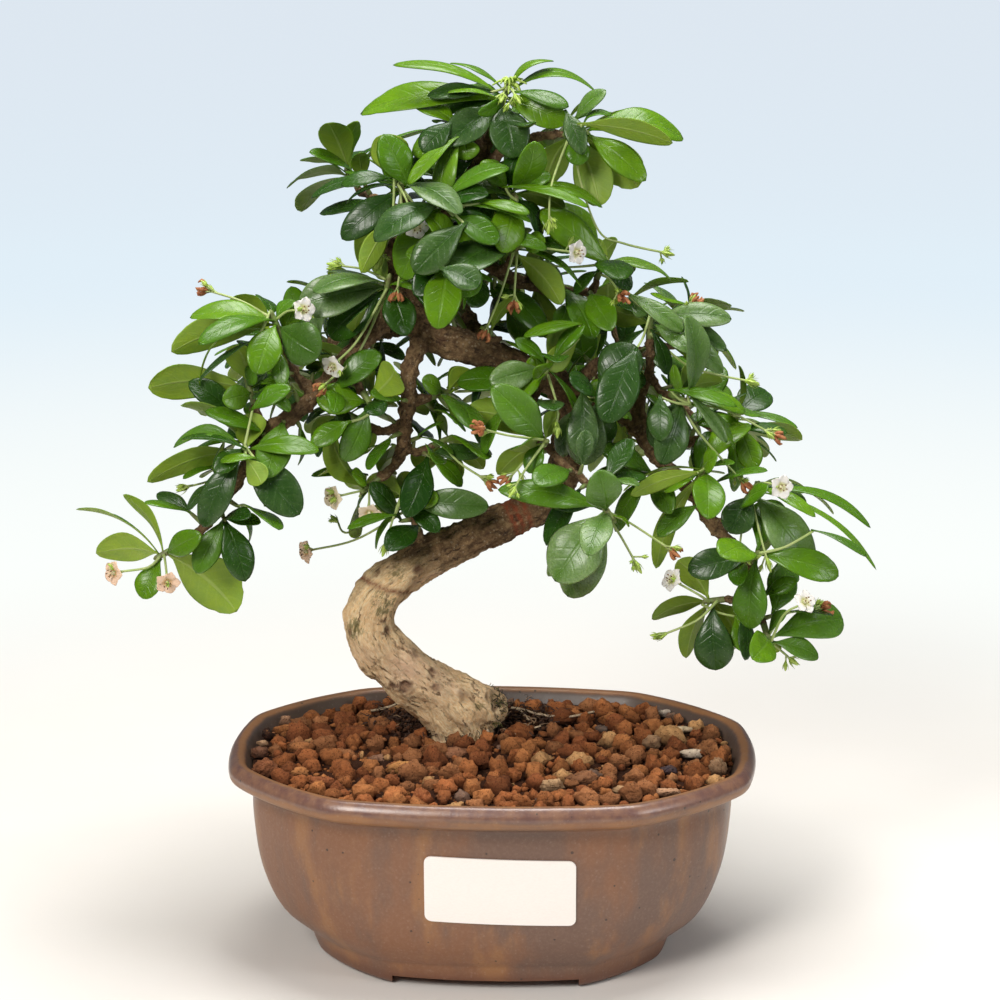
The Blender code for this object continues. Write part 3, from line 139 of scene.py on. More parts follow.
# Wood, as in the part's source: (right, away, up, radius) in the tree's millimetres.
TRUNK = (
    (-11, 1, 75, 11.0), (-12, 1, 84, 11.4), (-17, -1, 93, 11.0), (-24, -3, 100, 10.6),
    (-32, -6, 107.5, 10.2), (-40, -8, 116, 9.8), (-45, -9, 126, 9.4), (-42, -9, 137, 8.6),
    (-29, -6, 148, 7.7), (-12, -3, 156, 7.3), (7, 0, 164, 6.9), (20, 5, 170, 6.7), (26, 9, 179, 6.6),
    (28, 11, 190, 6.4), (29, 10, 202, 6.0), (24, 5, 213, 5.4), (10, 0, 221, 5.3), (-4, -3, 227, 5.7),
    (-19, -3, 232, 6.2), (-29, 0, 241, 5.8), (-34, 4, 253, 4.6), (-37, 6, 267, 3.9),
)
LIMBS = {
    "leader": (
        (-32, 2, 246, 4.4), (-29, 4, 260, 4.0), (-24, 4, 271, 3.6), (-16, 6, 280, 3.2), (-7, 6, 289, 2.8),
        (-2, 4, 300, 2.4), (2, 2, 311, 1.7),
    ),
    "left": (
        (-30, 0, 242, 4.0), (-42, -8, 236, 3.3), (-51, -13, 227, 3.1), (-62, -20, 215, 3.0),
        (-69, -24, 209, 3.1), (-79, -28, 202, 2.5), (-86, -31, 192, 2.4), (-92, -33, 183, 2.2),
        (-99, -35, 174, 2.0), (-105, -36, 166, 1.8), (-111, -37, 163, 1.5),
    ),
    "descending": (
        (-25, -4, 232, 3.4), (-29, -10, 223, 3.0), (-30, -12, 213, 2.8), (-31, -12, 203, 2.6),
        (-32, -12, 194, 2.3), (-35, -13, 187, 1.9), (-40, -14, 183, 1.5),
    ),
    "cross": (
        (-29, 3, 259, 3.0), (-11, 6, 261, 2.5), (10, 12, 250, 2.3), (25, 16, 246, 2.1), (35, 13, 246, 1.7),
    ),
    "right": (
        (29, 9, 204, 4.6), (40, 10, 206, 3.9), (47, 7, 203, 3.6), (54, 3, 197, 3.4), (59, -2, 190, 3.2),
        (64, -5, 184, 2.9), (72, -9, 177, 2.6), (77, -12, 170, 2.6), (81, -14, 164, 2.4),
        (86, -16, 159, 2.1), (91, -18, 152, 1.9), (95, -20, 146, 1.7), (97, -22, 137, 1.4),
    ),
    "upright": ((54, 3, 197, 2.3), (54, 3, 208, 2.0), (57, 1, 219, 1.8), (57, -1, 231, 1.5)),
    "outer": ((59, 0, 191, 2.0), (73, 6, 192, 1.7), (83, 9, 193, 1.4)),
    "hanging": (
        (10, -4, 221, 2.0), (14, -16, 212, 1.6), (17, -24, 200, 1.5), (25, -31, 192, 1.4),
        (32, -35, 187, 1.3), (37, -39, 181, 1.2),
    ),
    "gnarled": ((28, 8, 209, 3.0), (33, -1, 216, 2.6), (38, -8, 224, 1.9)),
    "behind": ((-2, -2, 226, 3.6), (-8, 20, 233, 2.8), (-12, 38, 240, 2.2), (-14, 52, 250, 1.6)),
    "behind_left": ((-27, -1, 236, 3.4), (-46, 18, 230, 2.8), (-62, 34, 222, 2.2), (-74, 46, 214, 1.6)),
    "behind_right": ((28, 10, 195, 3.6), (40, 30, 208, 2.8), (52, 46, 216, 2.2), (66, 56, 218, 1.6)),
    "behind_low": ((52, 46, 216, 1.9), (66, 40, 202, 1.6), (80, 36, 192, 1.4)),
    "behind_crown": ((-17, 6, 279, 2.4), (-8, 24, 281, 2.0), (2, 38, 284, 1.5)),
    "crown_left": ((-24, 4, 270, 2.3), (-36, 16, 276, 1.9), (-46, 26, 280, 1.4)),
    "crown_right": ((-7, 6, 289, 2.0), (6, -1, 300, 1.9), (17, -3, 304, 1.7), (25, -5, 305, 1.4)),
}
CROWN_END = (
    (-24, -3, 100, 9.5), (-15, -1, 96, 9.8), (-8, 0, 93, 9.4), (-2.5, 1, 91, 8.4),
)
STUBS = (
    ((-62, -20, 215), (-71, -21, 223)), ((-79, -28, 202), (-85, -25, 210)),
    ((81, -14, 164), (90, -13, 171)), ((-9, -3, 229), (3, -5, 232)), ((-2, 4, 300), (-7, 0, 302)),
    ((-30, -12, 210), (-22, -11, 212)),
)
STUB_RADII = (1.8 * MM, 1.6 * MM, 1.25 * MM)
STOCK_MIDDLE = Vector((-10.7, 0.5, 0.0)) * MM
STOCK_BOTTOM = 50.0 * MM
STOCK_TOP = 80.0 * MM
STOCK_RADIUS_LOW = 9.0 * MM
STOCK_RADIUS_TOP = 12.3 * MM
TRUNK_STEP = 10.5 * MM
LIMB_STEP = 12.0 * MM
FINE_STEP = 2.0 * MM
SPUR_RADII = (1.9 * MM, 1.35 * MM)
SPUR_SAG = 0.22
SPUR_SHARE = 0.8
LIMB_END = 5.0 * MM
LUMPS = 0.09
LUMP_SIZE = 11.0 * MM

# How the part's shoots are laid out: the stem's lattice and the ends of stalks, in millimetres.
STEM_RADIUS = 1.3
STEM_ROW = 1.5
STEM_FOOT = 1.6
STEM_TIP = 1.8
GAP = 0.3 * MM
LEAF_THICK = 1.0
WELD = 0.01 * MM
LATTICE_SLACK = 0.02
LONG_LEAF_AT = (0.32, 0.64, 0.89)
SHORT_LEAF_AT = (0.40, 0.78)
END_RADII = {"bud": 0.3, "dry": 0.9, "flower": 1.1}


# Meshes


def add_object(name, data):
    """Puts a mesh, a light or the camera in the scene."""
    made = bpy.data.objects.new(name, data)
    bpy.context.scene.collection.objects.link(made)
    return made


def finish_piece(name, mesh, slot, *nodes):
    """Puts a mesh, held inside the part's own box, in the scene as a piece that stands for its nodes."""
    points = np.empty(len(mesh.vertices) * 3)
    mesh.vertices.foreach_get("co", points)
    mesh.vertices.foreach_set("co", np.clip(points.reshape(-1, 3), CAD_BOX[0], CAD_BOX[1]).ravel())
    mesh.update()
    piece = add_object(name, mesh)
    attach(piece, "root")
    if nodes:
        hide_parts(*nodes)


def mesh_of(name, verts, faces, materials, matrix=None):
    mesh = bpy.data.meshes.new(name)
    mesh.from_pydata([tuple(v) for v in verts], [], [tuple(f) for f in faces])
    for material in materials:
        mesh.materials.append(material)
    if matrix is not None:
        mesh.transform(matrix)
    mesh.update()
    mesh.shade_smooth()
    return mesh


def store(mesh, name, kind, values):
    """Keeps a value, vector or colour at every vertex for the shaders."""
    attribute = mesh.attributes.new(name, kind, "POINT")
    field = {"FLOAT": "value", "FLOAT_VECTOR": "vector", "FLOAT_COLOR": "color"}[kind]
    attribute.data.foreach_set(field, np.asarray(values, dtype=np.float32).ravel())


def dress(mesh, material):
    """Gives a mesh its only material."""
    mesh.materials.clear()
    mesh.materials.append(material)


def through_modifiers(name, shape, material, *modifiers):
    """The mesh that a stack of modifiers makes of a (verts, faces) shape."""
    base = add_object("work", mesh_of("work", *shape, ()))
    for kind, settings in modifiers:
        modifier = base.modifiers.new(kind, kind)
        for key, value in settings.items():
            setattr(modifier, key, value)
    depsgraph = bpy.context.evaluated_depsgraph_get()
    made = bpy.data.meshes.new_from_object(base.evaluated_get(depsgraph))
    old = base.data
    bpy.data.objects.remove(base)
    bpy.data.meshes.remove(old)
    made.name = name
    dress(made, material)
    return made


def joined(shapes):
    """Several (verts, faces) shapes as one."""
    verts, faces = [], []
    for more_verts, more_faces in shapes:
        first = len(verts)
        verts += list(more_verts)
        faces += [tuple(first + i for i in face) for face in more_faces]
    return verts, faces


def loft(rings):
    """Joins equal rings into one closed shape, with a flat face on the first and the last."""
    count = len(rings[0])
    faces = [tuple(reversed(range(count)))]
    for base in range(0, (len(rings) - 1) * count, count):
        for i in range(count):
            j = (i + 1) % count
            faces.append((base + i, base + j, base + count + j, base + count + i))
    last = (len(rings) - 1) * count
    faces.append(tuple(range(last, last + count)))
    return [point for ring in rings for point in ring], faces


def sheet_faces(rows, columns):
    """Faces of a thin closed sheet: a grid of points, the same grid behind it, and the rim between them."""
    step = columns + 1
    count = (rows + 1) * step
    faces = []
    for i in range(rows):
        for j in range(columns):
            a, b = i * step + j, (i + 1) * step + j
            faces.append((a, b, b + 1, a + 1))
            faces.append((count + a, count + a + 1, count + b + 1, count + b))
    rim = list(range(step)) + [i * step + columns for i in range(1, rows + 1)]
    rim += [rows * step + j for j in range(columns - 1, -1, -1)] + [i * step for i in range(rows - 1, 0, -1)]
    return faces + [(a, b, count + b, count + a) for a, b in zip(rim, rim[1:] + rim[:1])]


def box_shape(low, high):
    spans = list(zip(low, high))
    verts = [Vector((x, y, z)) for z in spans[2] for y in spans[1] for x in spans[0]]
    return verts, [(0, 2, 3, 1), (4, 5, 7, 6), (0, 1, 5, 4), (2, 6, 7, 3), (0, 4, 6, 2), (1, 3, 7, 5)]


def circle_ring(middle, radius, sides, height):
    angles = [i * (math.tau / sides) for i in range(sides)]
    x, y = middle[0], middle[1]
    return [Vector((x + radius * math.cos(a), y + radius * math.sin(a), height)) for a in angles]


def smooth_route(points, spacing):
    """A smooth curve through points with radii, read at about equal steps: (place, radius) pairs."""
    knots = [points[0]] + list(points) + [points[-1]]
    route = []
    for k in range(1, len(knots) - 2):
        (a, _), (b, rb), (c, rc), (d, _) = knots[k - 1:k + 3]
        steps = max(1, round((c - b).length / spacing))
        for i in range(steps):
            t = i / steps
            place = 0.5 * (2 * b + (c - a) * t + (2 * a - 5 * b + 4 * c - d) * t * t + (3 * b - a - 3 * c + d) * t ** 3)
            route.append((place, rb + (rc - rb) * t))
    route.append(knots[-1])
    return route


def in_metres(points):
    return [(Vector(p[:3]) * MM, p[3] * MM) for p in points]


def sideways(ahead):
    """A way square to another, level where it can be."""
    return ahead.cross(UP if abs(ahead.z) < 0.9 else Vector((1.0, 0.0, 0.0))).normalized()


def turned(side, up, angle):
    """The way at an angle between two ways that are square to each other."""
    return side * math.cos(angle) + up * math.sin(angle)


def squared(way, ahead):
    """A way made square to another."""
    return (way - ahead * way.dot(ahead)).normalized()


def scattered(draw, low, high):
    return Vector(draw.uniform(low, high) for _ in range(3))


def frames_along(route):
    """(ahead, side, up) at each point of a route, turned as little as they can be."""
    places = [place for place, _ in route]
    side = sideways((places[1] - places[0]).normalized())
    found = []
    for k in range(len(places)):
        ahead = (places[min(k + 1, len(places) - 1)] - places[max(k - 1, 0)]).normalized()
        side = squared(side, ahead)
        found.append((ahead, side, ahead.cross(side)))
    return found


def tube_shape(route, sides, lumps=0.0, round_end=False):
    """A tube along a route of (place, radius), with an even swell and a rounded far end if wanted."""
    if round_end:
        place, radius = route[-1]
        ahead = (place - route[-2][0]).normalized()
        ends = ((0.5, 0.85), (0.85, 0.45))
        route = route + [(place + ahead * radius * out, radius * share) for out, share in ends]
    rings = []
    for (place, radius), (_, side, up) in zip(route, frames_along(route)):
        ring = []
        for i in range(sides):
            out = turned(side, up, math.tau * i / sides)
            swell = 1.0
            if lumps:
                swell += lumps * noise.noise((place + out * radius * 2.0) / LUMP_SIZE) * 2.0
            ring.append(place + out * radius * swell)
        rings.append(ring)
    return loft(rings)


def surface_tree(mesh):
    return BVHTree.FromPolygons([v.co for v in mesh.vertices], [p.vertices for p in mesh.polygons])


def point_tree(numbered):
    """A search tree of (number, place) pairs."""
    tree = kdtree.KDTree(len(numbered))
    for i, place in numbered:
        tree.insert(place, i)
    tree.balance()
    return tree


# Places: the tree's millimetres, the scene's metres and the photograph's pixels


def to_world(place):
    return TREE @ (place * MM)


def to_tree(place):
    return INTO_TREE @ place / MM


def pixel_ray(x, y):
    """The camera's place and the way to a pixel of the 1000-pixel picture."""
    across, up = (x / PICTURE - 0.5 + SHIFT_X) * SENSOR / LENS, (0.5 - y / PICTURE) * SENSOR / LENS
    return CAMERA_PLACE, (CAMERA_FRAME.to_3x3() @ Vector((across, up, -1.0))).normalized()


def pixel_of(place):
    """Where a place of the tree shows in the picture."""
    seen = CAMERA_FRAME.inverted() @ to_world(place)
    return (
        PICTURE * (0.5 - SHIFT_X + seen.x / -seen.z * LENS / SENSOR),
        PICTURE * (0.5 - seen.y / -seen.z * LENS / SENSOR),
    )


def on_level(pixel, height):
    """The place at a height that a pixel shows."""
    start, way = pixel_ray(*pixel)
    return start + way * ((height - start.z) / way.z)


# Shaders


class Shade:
    """Adds a tree's nodes and joins them. Numbers, tuples and sockets go in alike."""

    def __init__(self, tree):
        self.tree = tree

    def node(self, kind, values=None, **settings):
        made = self.tree.nodes.new(kind)
        for key, value in settings.items():
            setattr(made, key, value)
        for key, value in (values or {}).items():
            self.put(made.inputs[key], value)
        return made

    def put(self, socket, value):
        if isinstance(value, bpy.types.NodeSocket):
            self.tree.links.new(value, socket)
        elif socket.type == "RGBA":
            socket.default_value = (*value, 1.0)
        else:
            socket.default_value = value

    def math(self, operation, a, b=0.0, clamp=False):
        return self.node("ShaderNodeMath", {0: a, 1: b}, operation=operation, use_clamp=clamp).outputs[0]

    def times(self, a, b):
        return self.math("MULTIPLY", a, b)

    def plus(self, a, b, clamp=False):
        return self.math("ADD", a, b, clamp)

    def minus(self, a, b):
        return self.math("SUBTRACT", a, b)

    def mix(self, share, a, b, blend="MIX"):
        values = {0: share, 6: a, 7: b}
        return self.node("ShaderNodeMix", values, data_type="RGBA", blend_type=blend).outputs[2]

    def over(self, base, mask, share, colour):
        """A colour laid over a base where a mask shows, with a share of its strength."""
        return self.mix(self.times(mask, share), base, colour)

    def between(self, value, low, high, start=0.0, end=1.0):
        values = {"Value": value, "From Min": low, "From Max": high, "To Min": start, "To Max": end}
        return self.node("ShaderNodeMapRange", values, interpolation_type="SMOOTHSTEP").outputs[0]

    def noise(self, vector, scale, detail=3.0, roughness=0.55, output="Fac"):
        values = {"Vector": vector, "Scale": scale, "Detail": detail, "Roughness": roughness}
        return self.node("ShaderNodeTexNoise", values).outputs[output]

    def cell_edges(self, vector, scale):
        values = {"Vector": vector, "Scale": scale}
        return self.node("ShaderNodeTexVoronoi", values, feature="DISTANCE_TO_EDGE").outputs["Distance"]

    def stretch(self, vector, factors):
        return self.node("ShaderNodeVectorMath", {0: vector, 1: factors}, operation="MULTIPLY").outputs[0]

    def parts(self, vector):
        return self.node("ShaderNodeSeparateXYZ", {0: vector}).outputs

    def place(self):
        return self.node("ShaderNodeTexCoord").outputs["Object"]

    def attribute(self, name, output="Fac"):
        return self.node("ShaderNodeAttribute", attribute_name=name).outputs[output]

    def group(self, name, values):
        return self.node("ShaderNodeGroup", values, node_tree=bpy.data.node_groups[name]).outputs[0]

    def mottle(self, vector, scale, low, high):
        return self.group("mottle", {"Vector": vector, "Scale": scale, "Low": low, "High": high})

    def specks(self, vector, scale, size, share):
        return self.group("specks", {"Vector": vector, "Scale": scale, "Size": size, "Share": share})

    def bump(self, height, strength, distance):
        values = {"Height": height, "Strength": strength, "Distance": distance}
        return self.node("ShaderNodeBump", values).outputs[0]


def make_group(name, inputs, output, fill):
    """A shader node group that takes a vector and named numbers. fill gets the nodes and the inputs."""
    tree = bpy.data.node_groups.new(name, "ShaderNodeTree")
    tree.interface.new_socket("Vector", in_out="INPUT", socket_type="NodeSocketVector")
    for key, default in inputs.items():
        tree.interface.new_socket(key, in_out="INPUT", socket_type="NodeSocketFloat").default_value = default
    tree.interface.new_socket(output, in_out="OUTPUT", socket_type="NodeSocketFloat")
    shade = Shade(tree)
    source = shade.node("NodeGroupInput")
    shade.node("NodeGroupOutput", {output: fill(shade, source.outputs)})


def mottle(s, i):
    """Soft-edged clouds."""
    return s.between(s.noise(i["Vector"], i["Scale"], 5.0, 0.6), i["Low"], i["High"])


def specks(s, i):
    """Round dots of mixed sizes in a share of the cells."""
    cells = s.node("ShaderNodeTexVoronoi", {"Vector": i["Vector"], "Scale": i["Scale"]}, feature="F1")
    picked = s.parts(cells.outputs["Color"])[0]
    size = s.times(i["Size"], s.between(picked, i["Share"], 1.0))
    return s.math("LESS_THAN", cells.outputs["Distance"], size)


def grit(s, i):
    """Coarse and fine roughness together."""
    coarse = s.noise(i["Vector"], s.times(i["Scale"], 0.3), 2.0)
    return s.plus(s.noise(i["Vector"], i["Scale"], 4.0, 0.65), s.times(coarse, 1.5))


def make_groups():
    """The effects that several finishes share."""
    make_group("mottle", {"Scale": 30.0, "Low": 0.4, "High": 0.6}, "Mask", mottle)
    make_group("specks", {"Scale": 300.0, "Size": 0.3, "Share": 0.5}, "Mask", specks)
    make_group("grit", {"Scale": 400.0}, "Height", grit)


def make_material(name, fill, *values):
    """A material whose nodes fill adds; fill gives the Principled shader's inputs."""
    if name in bpy.data.materials:
        return bpy.data.materials[name]
    if "grit" not in bpy.data.node_groups:
        make_groups()
    material = bpy.data.materials.new(name)
    material.use_nodes = True
    shade = Shade(material.node_tree)
    shader = material.node_tree.nodes["Principled BSDF"]
    for key, value in fill(shade, *values).items():
        shade.put(shader.inputs[key], value)
    return material


def glaze(s, look):
    """Brown stoneware glaze in clouds that run down the wall, worn by its reach from the lip's crest."""
    place = s.place()
    streaks = s.stretch(place, (1.0, 1.0, 0.32))
    wander = s.times(s.minus(s.noise(place, 60.0, 3.0), 0.5), 3.0)
    edge = s.plus(s.attribute("reach"), wander)
    body = s.mix(s.mottle(streaks, 34.0, 0.42, 0.62), look.body_colour, look.grey_colour)
    body = s.over(body, s.mottle(streaks, 52.0, 0.5, 0.66), 0.75, look.ochre_colour)
    body = s.mix(s.between(s.noise(place, 900.0, 3.0, 0.7), 0.4, 0.8, 0.0, 0.2), body, (0.36, 0.25, 0.17))
    # Under the lip the glaze thins to ochre, and it breaks to a glossy purple-brown on the lip's edge.
    under = s.times(s.between(edge, 5.5, 7.0), s.between(edge, 15.0, 9.5))
    thin = s.plus(0.05, s.times(s.mottle(place, 40.0, 0.35, 0.6), 0.65))
    body = s.over(body, under, thin, look.ochre_colour)
    lip = s.times(s.between(edge, -1.0, 0.8), s.between(edge, 6.4, 4.8))
    lip_colour = s.mix(s.mottle(place, 210.0, 0.3, 0.7), look.lip_colour, (0.24, 0.12, 0.07))
    body = s.mix(lip, body, lip_colour)
    brim = s.times(s.between(edge, -3.6, -2.2), s.between(edge, 0.4, -0.8))
    body = s.over(body, brim, 0.8, look.ochre_colour)
    body = s.over(body, s.between(edge, -2.6, -4.2), 0.9, (0.085, 0.06, 0.048))
    foot = s.between(s.plus(s.parts(place)[2], s.times(wander, 0.0006)), 0.009, 0.003)
    body = s.over(body, foot, 0.75, (0.13, 0.045, 0.02))
    pits = s.specks(place, 330.0, 0.20, 0.82)
    body = s.over(body, pits, 0.75, (0.025, 0.018, 0.014))
    body = s.over(body, s.specks(place, 800.0, 0.35, 0.6), 0.07, (0.55, 0.45, 0.38))
    relief = s.minus(s.noise(place, 240.0, 3.0), s.times(pits, 0.6))
    relief = s.plus(relief, s.times(s.times(lip, s.noise(place, 1500.0, 2.0)), 0.7))
    return {
        "Base Color": body,
        "Roughness": s.minus(s.plus(0.34, s.times(s.noise(place, 45.0, 4.0), 0.22)), s.times(lip, 0.10)),
        "Coat Weight": s.plus(0.12, s.times(lip, 0.55)),
        "Coat Roughness": 0.28,
        "Normal": s.bump(relief, 0.35, 0.5 * MM),
    }


def card(s):
    fibres = s.noise(s.stretch(s.place(), (1.0, 1.0, 2.5)), 900.0, 4.0, 0.7)
    return {
        "Base Color": s.mix(s.between(fibres, 0.3, 0.8), (0.93, 0.87, 0.82), (0.88, 0.82, 0.77)),
        "Roughness": s.between(fibres, 0.2, 0.8, 0.42, 0.6),
        "Normal": s.bump(fibres, 0.15, 0.1 * MM),
    }


def plastic(s):
    place = s.place()
    dust = s.mottle(place, 160.0, 0.45, 0.7)
    return {
        "Base Color": s.mix(dust, (0.03, 0.10, 0.05), (0.16, 0.10, 0.06)),
        "Roughness": s.plus(0.35, s.times(dust, 0.45)),
        "Normal": s.bump(s.noise(place, 1500.0, 2.0), 0.2, 0.1 * MM),
    }


def clay(s, damp_and_shaded):
    """Baked clay granules take their colour from each grain; the bed under them is darker, partly as damp soil and
    partly as painted shade in the gaps between the granules.
    """
    place = s.place()
    # The bed is painted dark: partly damp soil, partly painted shade in the gaps between the granules.
    if damp_and_shaded:
        base = s.mix(s.noise(place, 300.0, 4.0), (0.03, 0.011, 0.006), (0.09, 0.033, 0.014))
    else:
        base = s.attribute("grain_colour", "Color")
    cloud = s.between(s.noise(place, 420.0, 4.0, 0.7), 0.3, 0.75, 0.0, 0.45)
    colour = s.mix(cloud, base, (0.12, 0.036, 0.013), "MULTIPLY" if damp_and_shaded else "MIX")
    if not damp_and_shaded:
        # Pale dust on the granules' tops, where their painted shade is lightest: partly dust, partly painted light on
        # the tops.
        dust = s.between(s.noise(place, 1100.0, 3.0, 0.7), 0.5, 0.8, 0.0, 0.45)
        colour = s.over(colour, dust, s.between(s.attribute("grain_shade"), 0.3, 0.9), (0.56, 0.26, 0.09))
    pores = s.specks(place, 1500.0, 0.42, 0.35)
    relief = s.minus(s.group("grit", {"Vector": place, "Scale": 1000.0}), s.times(pores, 0.9))
    return {
        "Base Color": s.over(colour, pores, 0.55, (0.035, 0.012, 0.006)),
        "Roughness": 0.95,
        "Specular IOR Level": 0.2,
        "Normal": s.bump(relief, 1.0, 1.2 * MM),
    }


def root_fibre(s):
    fibre = s.noise(s.place(), 1400.0, 3.0, 0.7)
    share = s.between(fibre, 0.3, 0.7, 0.0, 0.5)
    return {
        "Base Color": s.mix(share, s.attribute("grain_colour", "Color"), (0.05, 0.025, 0.015)),
        "Roughness": s.between(fibre, 0.2, 0.8, 0.7, 0.9),
        "Normal": s.bump(fibre, 0.6, 0.2 * MM),
    }


def bark(s, look):
    """Bark that is pale and flaking low on the trunk and dark and rough on the branches, by its age."""
    grain = s.attribute("grain", "Vector")
    age = s.attribute("age")
    green, pink, crease_shade = s.parts(s.attribute("tints_and_crease_shade", "Vector"))
    place = s.place()
    wander = s.noise(grain, 180.0, 4.0, 0.5, "Color")
    plates = s.cell_edges(s.stretch(s.mix(0.004, grain, wander), (1.0, 1.0, 0.07)), 330.0)
    fissure = s.times(s.between(plates, 0.14, 0.0), s.between(s.noise(grain, 190.0, 5.0, 0.75), 0.44, 0.66))
    fine = s.noise(s.stretch(grain, (1.0, 1.0, 0.3)), 2100.0, 4.0, 0.7)
    pale = s.mix(s.between(fine, 0.38, 0.62), look.trunk_colour, (0.97, 0.77, 0.47))
    cloud = s.noise(s.stretch(grain, (1.0, 1.0, 0.4)), 150.0, 4.0, 0.6)
    pale = s.mix(s.between(cloud, 0.45, 0.7, 0.0, 0.5), pale, (0.60, 0.36, 0.18))
    pale = s.over(pale, s.plus(pink, s.mottle(place, 85.0, 0.55, 0.8), True), 0.55, (0.80, 0.52, 0.38))
    flakes = s.mottle(s.stretch(grain, (1.0, 1.0, 0.35)), 420.0, 0.56, 0.66)
    pale = s.over(pale, flakes, 0.35, (0.42, 0.26, 0.15))
    # Painted shade: the fissures and the creases of the pale bark are painted dark, as shade lies in the cracks.
    pale = s.mix(s.between(fissure, 0.1, 0.9, 0.0, 0.8), pale, (0.17, 0.085, 0.04))
    pale = s.over(pale, crease_shade, 0.3, (0.20, 0.12, 0.06))
    algae = s.plus(s.noise(s.stretch(grain, (1.0, 1.0, 0.5)), 700.0, 5.0, 0.75), s.times(green, 0.35))
    pale = s.over(pale, s.between(algae, 0.66, 0.84), 0.8, (0.13, 0.12, 0.035))
    rough = s.between(s.noise(place, 420.0, 5.0, 0.75), 0.38, 0.64)
    dark = s.mix(rough, look.branch_colour, (0.30, 0.19, 0.09))
    # Painted shade: the creases and fissures of the dark bark are painted darker, as shade lies in the cracks.
    dark = s.over(dark, crease_shade, 0.5, (0.03, 0.017, 0.010))
    dark = s.mix(s.between(fissure, 0.2, 0.9, 0.0, 0.8), dark, (0.02, 0.011, 0.007))
    dark = s.over(dark, s.specks(place, 900.0, 0.45, 0.6), 0.5, (0.42, 0.32, 0.20))
    ragged_age = s.plus(age, s.times(s.minus(s.noise(place, 120.0, 4.0), 0.5), 0.5))
    colour = s.mix(s.between(ragged_age, 0.3, 0.7), pale, dark)
    ragged = s.between(s.noise(place, 500.0, 4.0, 0.7), 0.35, 0.6, 0.35, 0.95)
    rubbed = s.mix(age, (0.22, 0.10, 0.05), (0.30, 0.058, 0.02))
    colour = s.over(colour, s.attribute("wire"), ragged, rubbed)
    colour = s.over(colour, s.attribute("scar"), s.between(fine, 0.3, 0.6, 0.75, 1.0), (0.12, 0.045, 0.028))
    relief = s.plus(s.times(fissure, -0.9), s.times(fine, 0.9))
    relief = s.plus(relief, s.times(s.noise(place, 1400.0, 4.0, 0.7), s.plus(0.2, age)))
    return {
        "Base Color": colour,
        "Roughness": s.between(fine, 0.2, 0.8, 0.75, 0.92),
        "Specular IOR Level": 0.3,
        "Normal": s.bump(relief, 0.9, 0.9 * MM),
    }


def vein_mask(s, across, along, count, slant):
    """Side veins that leave the midrib and run up towards the edge."""
    line = s.times(s.minus(along, s.times(across, slant)), count)
    return s.between(s.math("ABSOLUTE", s.minus(s.math("FRACT", line), 0.5)), 0.16, 0.02)


def leaf_side(s, look, under):
    """A blade's upper side is dark and glossy, its underside pale and matt with raised veins."""
    blade = s.parts(s.attribute("blade", "Vector"))
    # The tone is partly each leaf's age and partly painted light and shade: lit leaves have a brighter tone and shaded
    # ones a darker tone.
    tone = s.attribute("tone")
    place = s.place()
    across = s.math("ABSOLUTE", blade[0])
    midrib = s.between(s.times(across, s.plus(0.35, s.times(blade[1], 0.9))), 0.085, 0.02)
    veins = s.times(vein_mask(s, across, blade[1], 8.0, 0.20), s.between(across, 1.0, 0.55))
    cloud = s.noise(place, 180.0, 4.0, 0.6)
    if under:
        net = s.between(s.cell_edges(place, 900.0), 0.12, 0.0)
        base = s.mix(tone, look.under_colour, look.under_bright)
        base = s.mix(s.between(cloud, 0.3, 0.7, 0.0, 0.35), base, (0.14, 0.26, 0.06))
        base = s.over(base, net, 0.14, (0.09, 0.17, 0.03))
        base = s.over(base, veins, 0.10, (0.36, 0.48, 0.12))
        base = s.over(base, midrib, 0.45, (0.40, 0.50, 0.15))
        relief = s.plus(s.times(midrib, 1.5), s.times(veins, 0.25))
        rough, strength, coat = s.between(cloud, 0.2, 0.8, 0.45, 0.6), 0.5, 0.0
    else:
        base = s.mix(s.between(tone, 0.0, 0.5), look.dark_colour, look.green_colour)
        base = s.mix(s.between(tone, 0.5, 1.0), base, look.bright_colour)
        base = s.mix(s.between(cloud, 0.35, 0.75, 0.0, 0.35), base, (0.03, 0.09, 0.004))
        base = s.over(base, veins, 0.05, (0.16, 0.30, 0.06))
        base = s.over(base, midrib, s.between(tone, 0.0, 1.0, 0.03, 0.16), (0.24, 0.40, 0.08))
        # Dust lies thickest towards the edge; it is partly dust and partly a painted sheen of light on the leaf.
        edge = s.between(s.plus(across, s.times(cloud, 0.8)), 0.3, 1.3, 0.25, 1.0)
        dust = s.times(s.between(s.noise(place, 1500.0, 3.0, 0.7), 0.25, 0.75, 0.35, 1.0), edge)
        base = s.over(base, s.times(dust, s.attribute("dust")), 0.6, (0.38, 0.50, 0.24))
        base = s.over(base, s.specks(place, 1300.0, 0.22, 0.5), 0.3, (0.45, 0.55, 0.40))
        relief = s.plus(s.times(midrib, -1.2), s.times(veins, -0.35))
        relief = s.plus(relief, s.times(s.noise(place, 260.0, 3.0), 1.1))
        rough, strength, coat = s.between(cloud, 0.2, 0.8, 0.18, 0.36), 0.6, 0.08
    return {
        "Base Color": base,
        "Roughness": rough,
        "Coat Weight": coat,
        "Coat Roughness": 0.22,
        "Specular IOR Level": 0.3,
        "Subsurface Weight": 0.22,
        "Subsurface Radius": (0.35, 0.6, 0.08),
        "Subsurface Scale": 1.2 * MM,
        "Normal": s.bump(relief, strength, 0.25 * MM),
    }


def plain_plant(s, first, second, roughness, scale=400.0):
    """Stems, stalks, anthers and withered flowers: two colours in a fine cloud, with a fine grain."""
    place = s.place()
    cloud = s.between(s.noise(place, scale, 4.0, 0.65), 0.3, 0.7)
    return {
        "Base Color": s.mix(cloud, first, second),
        "Roughness": roughness,
        "Normal": s.bump(s.noise(place, scale * 4.0, 3.0, 0.65), 0.5, 0.2 * MM),
    }


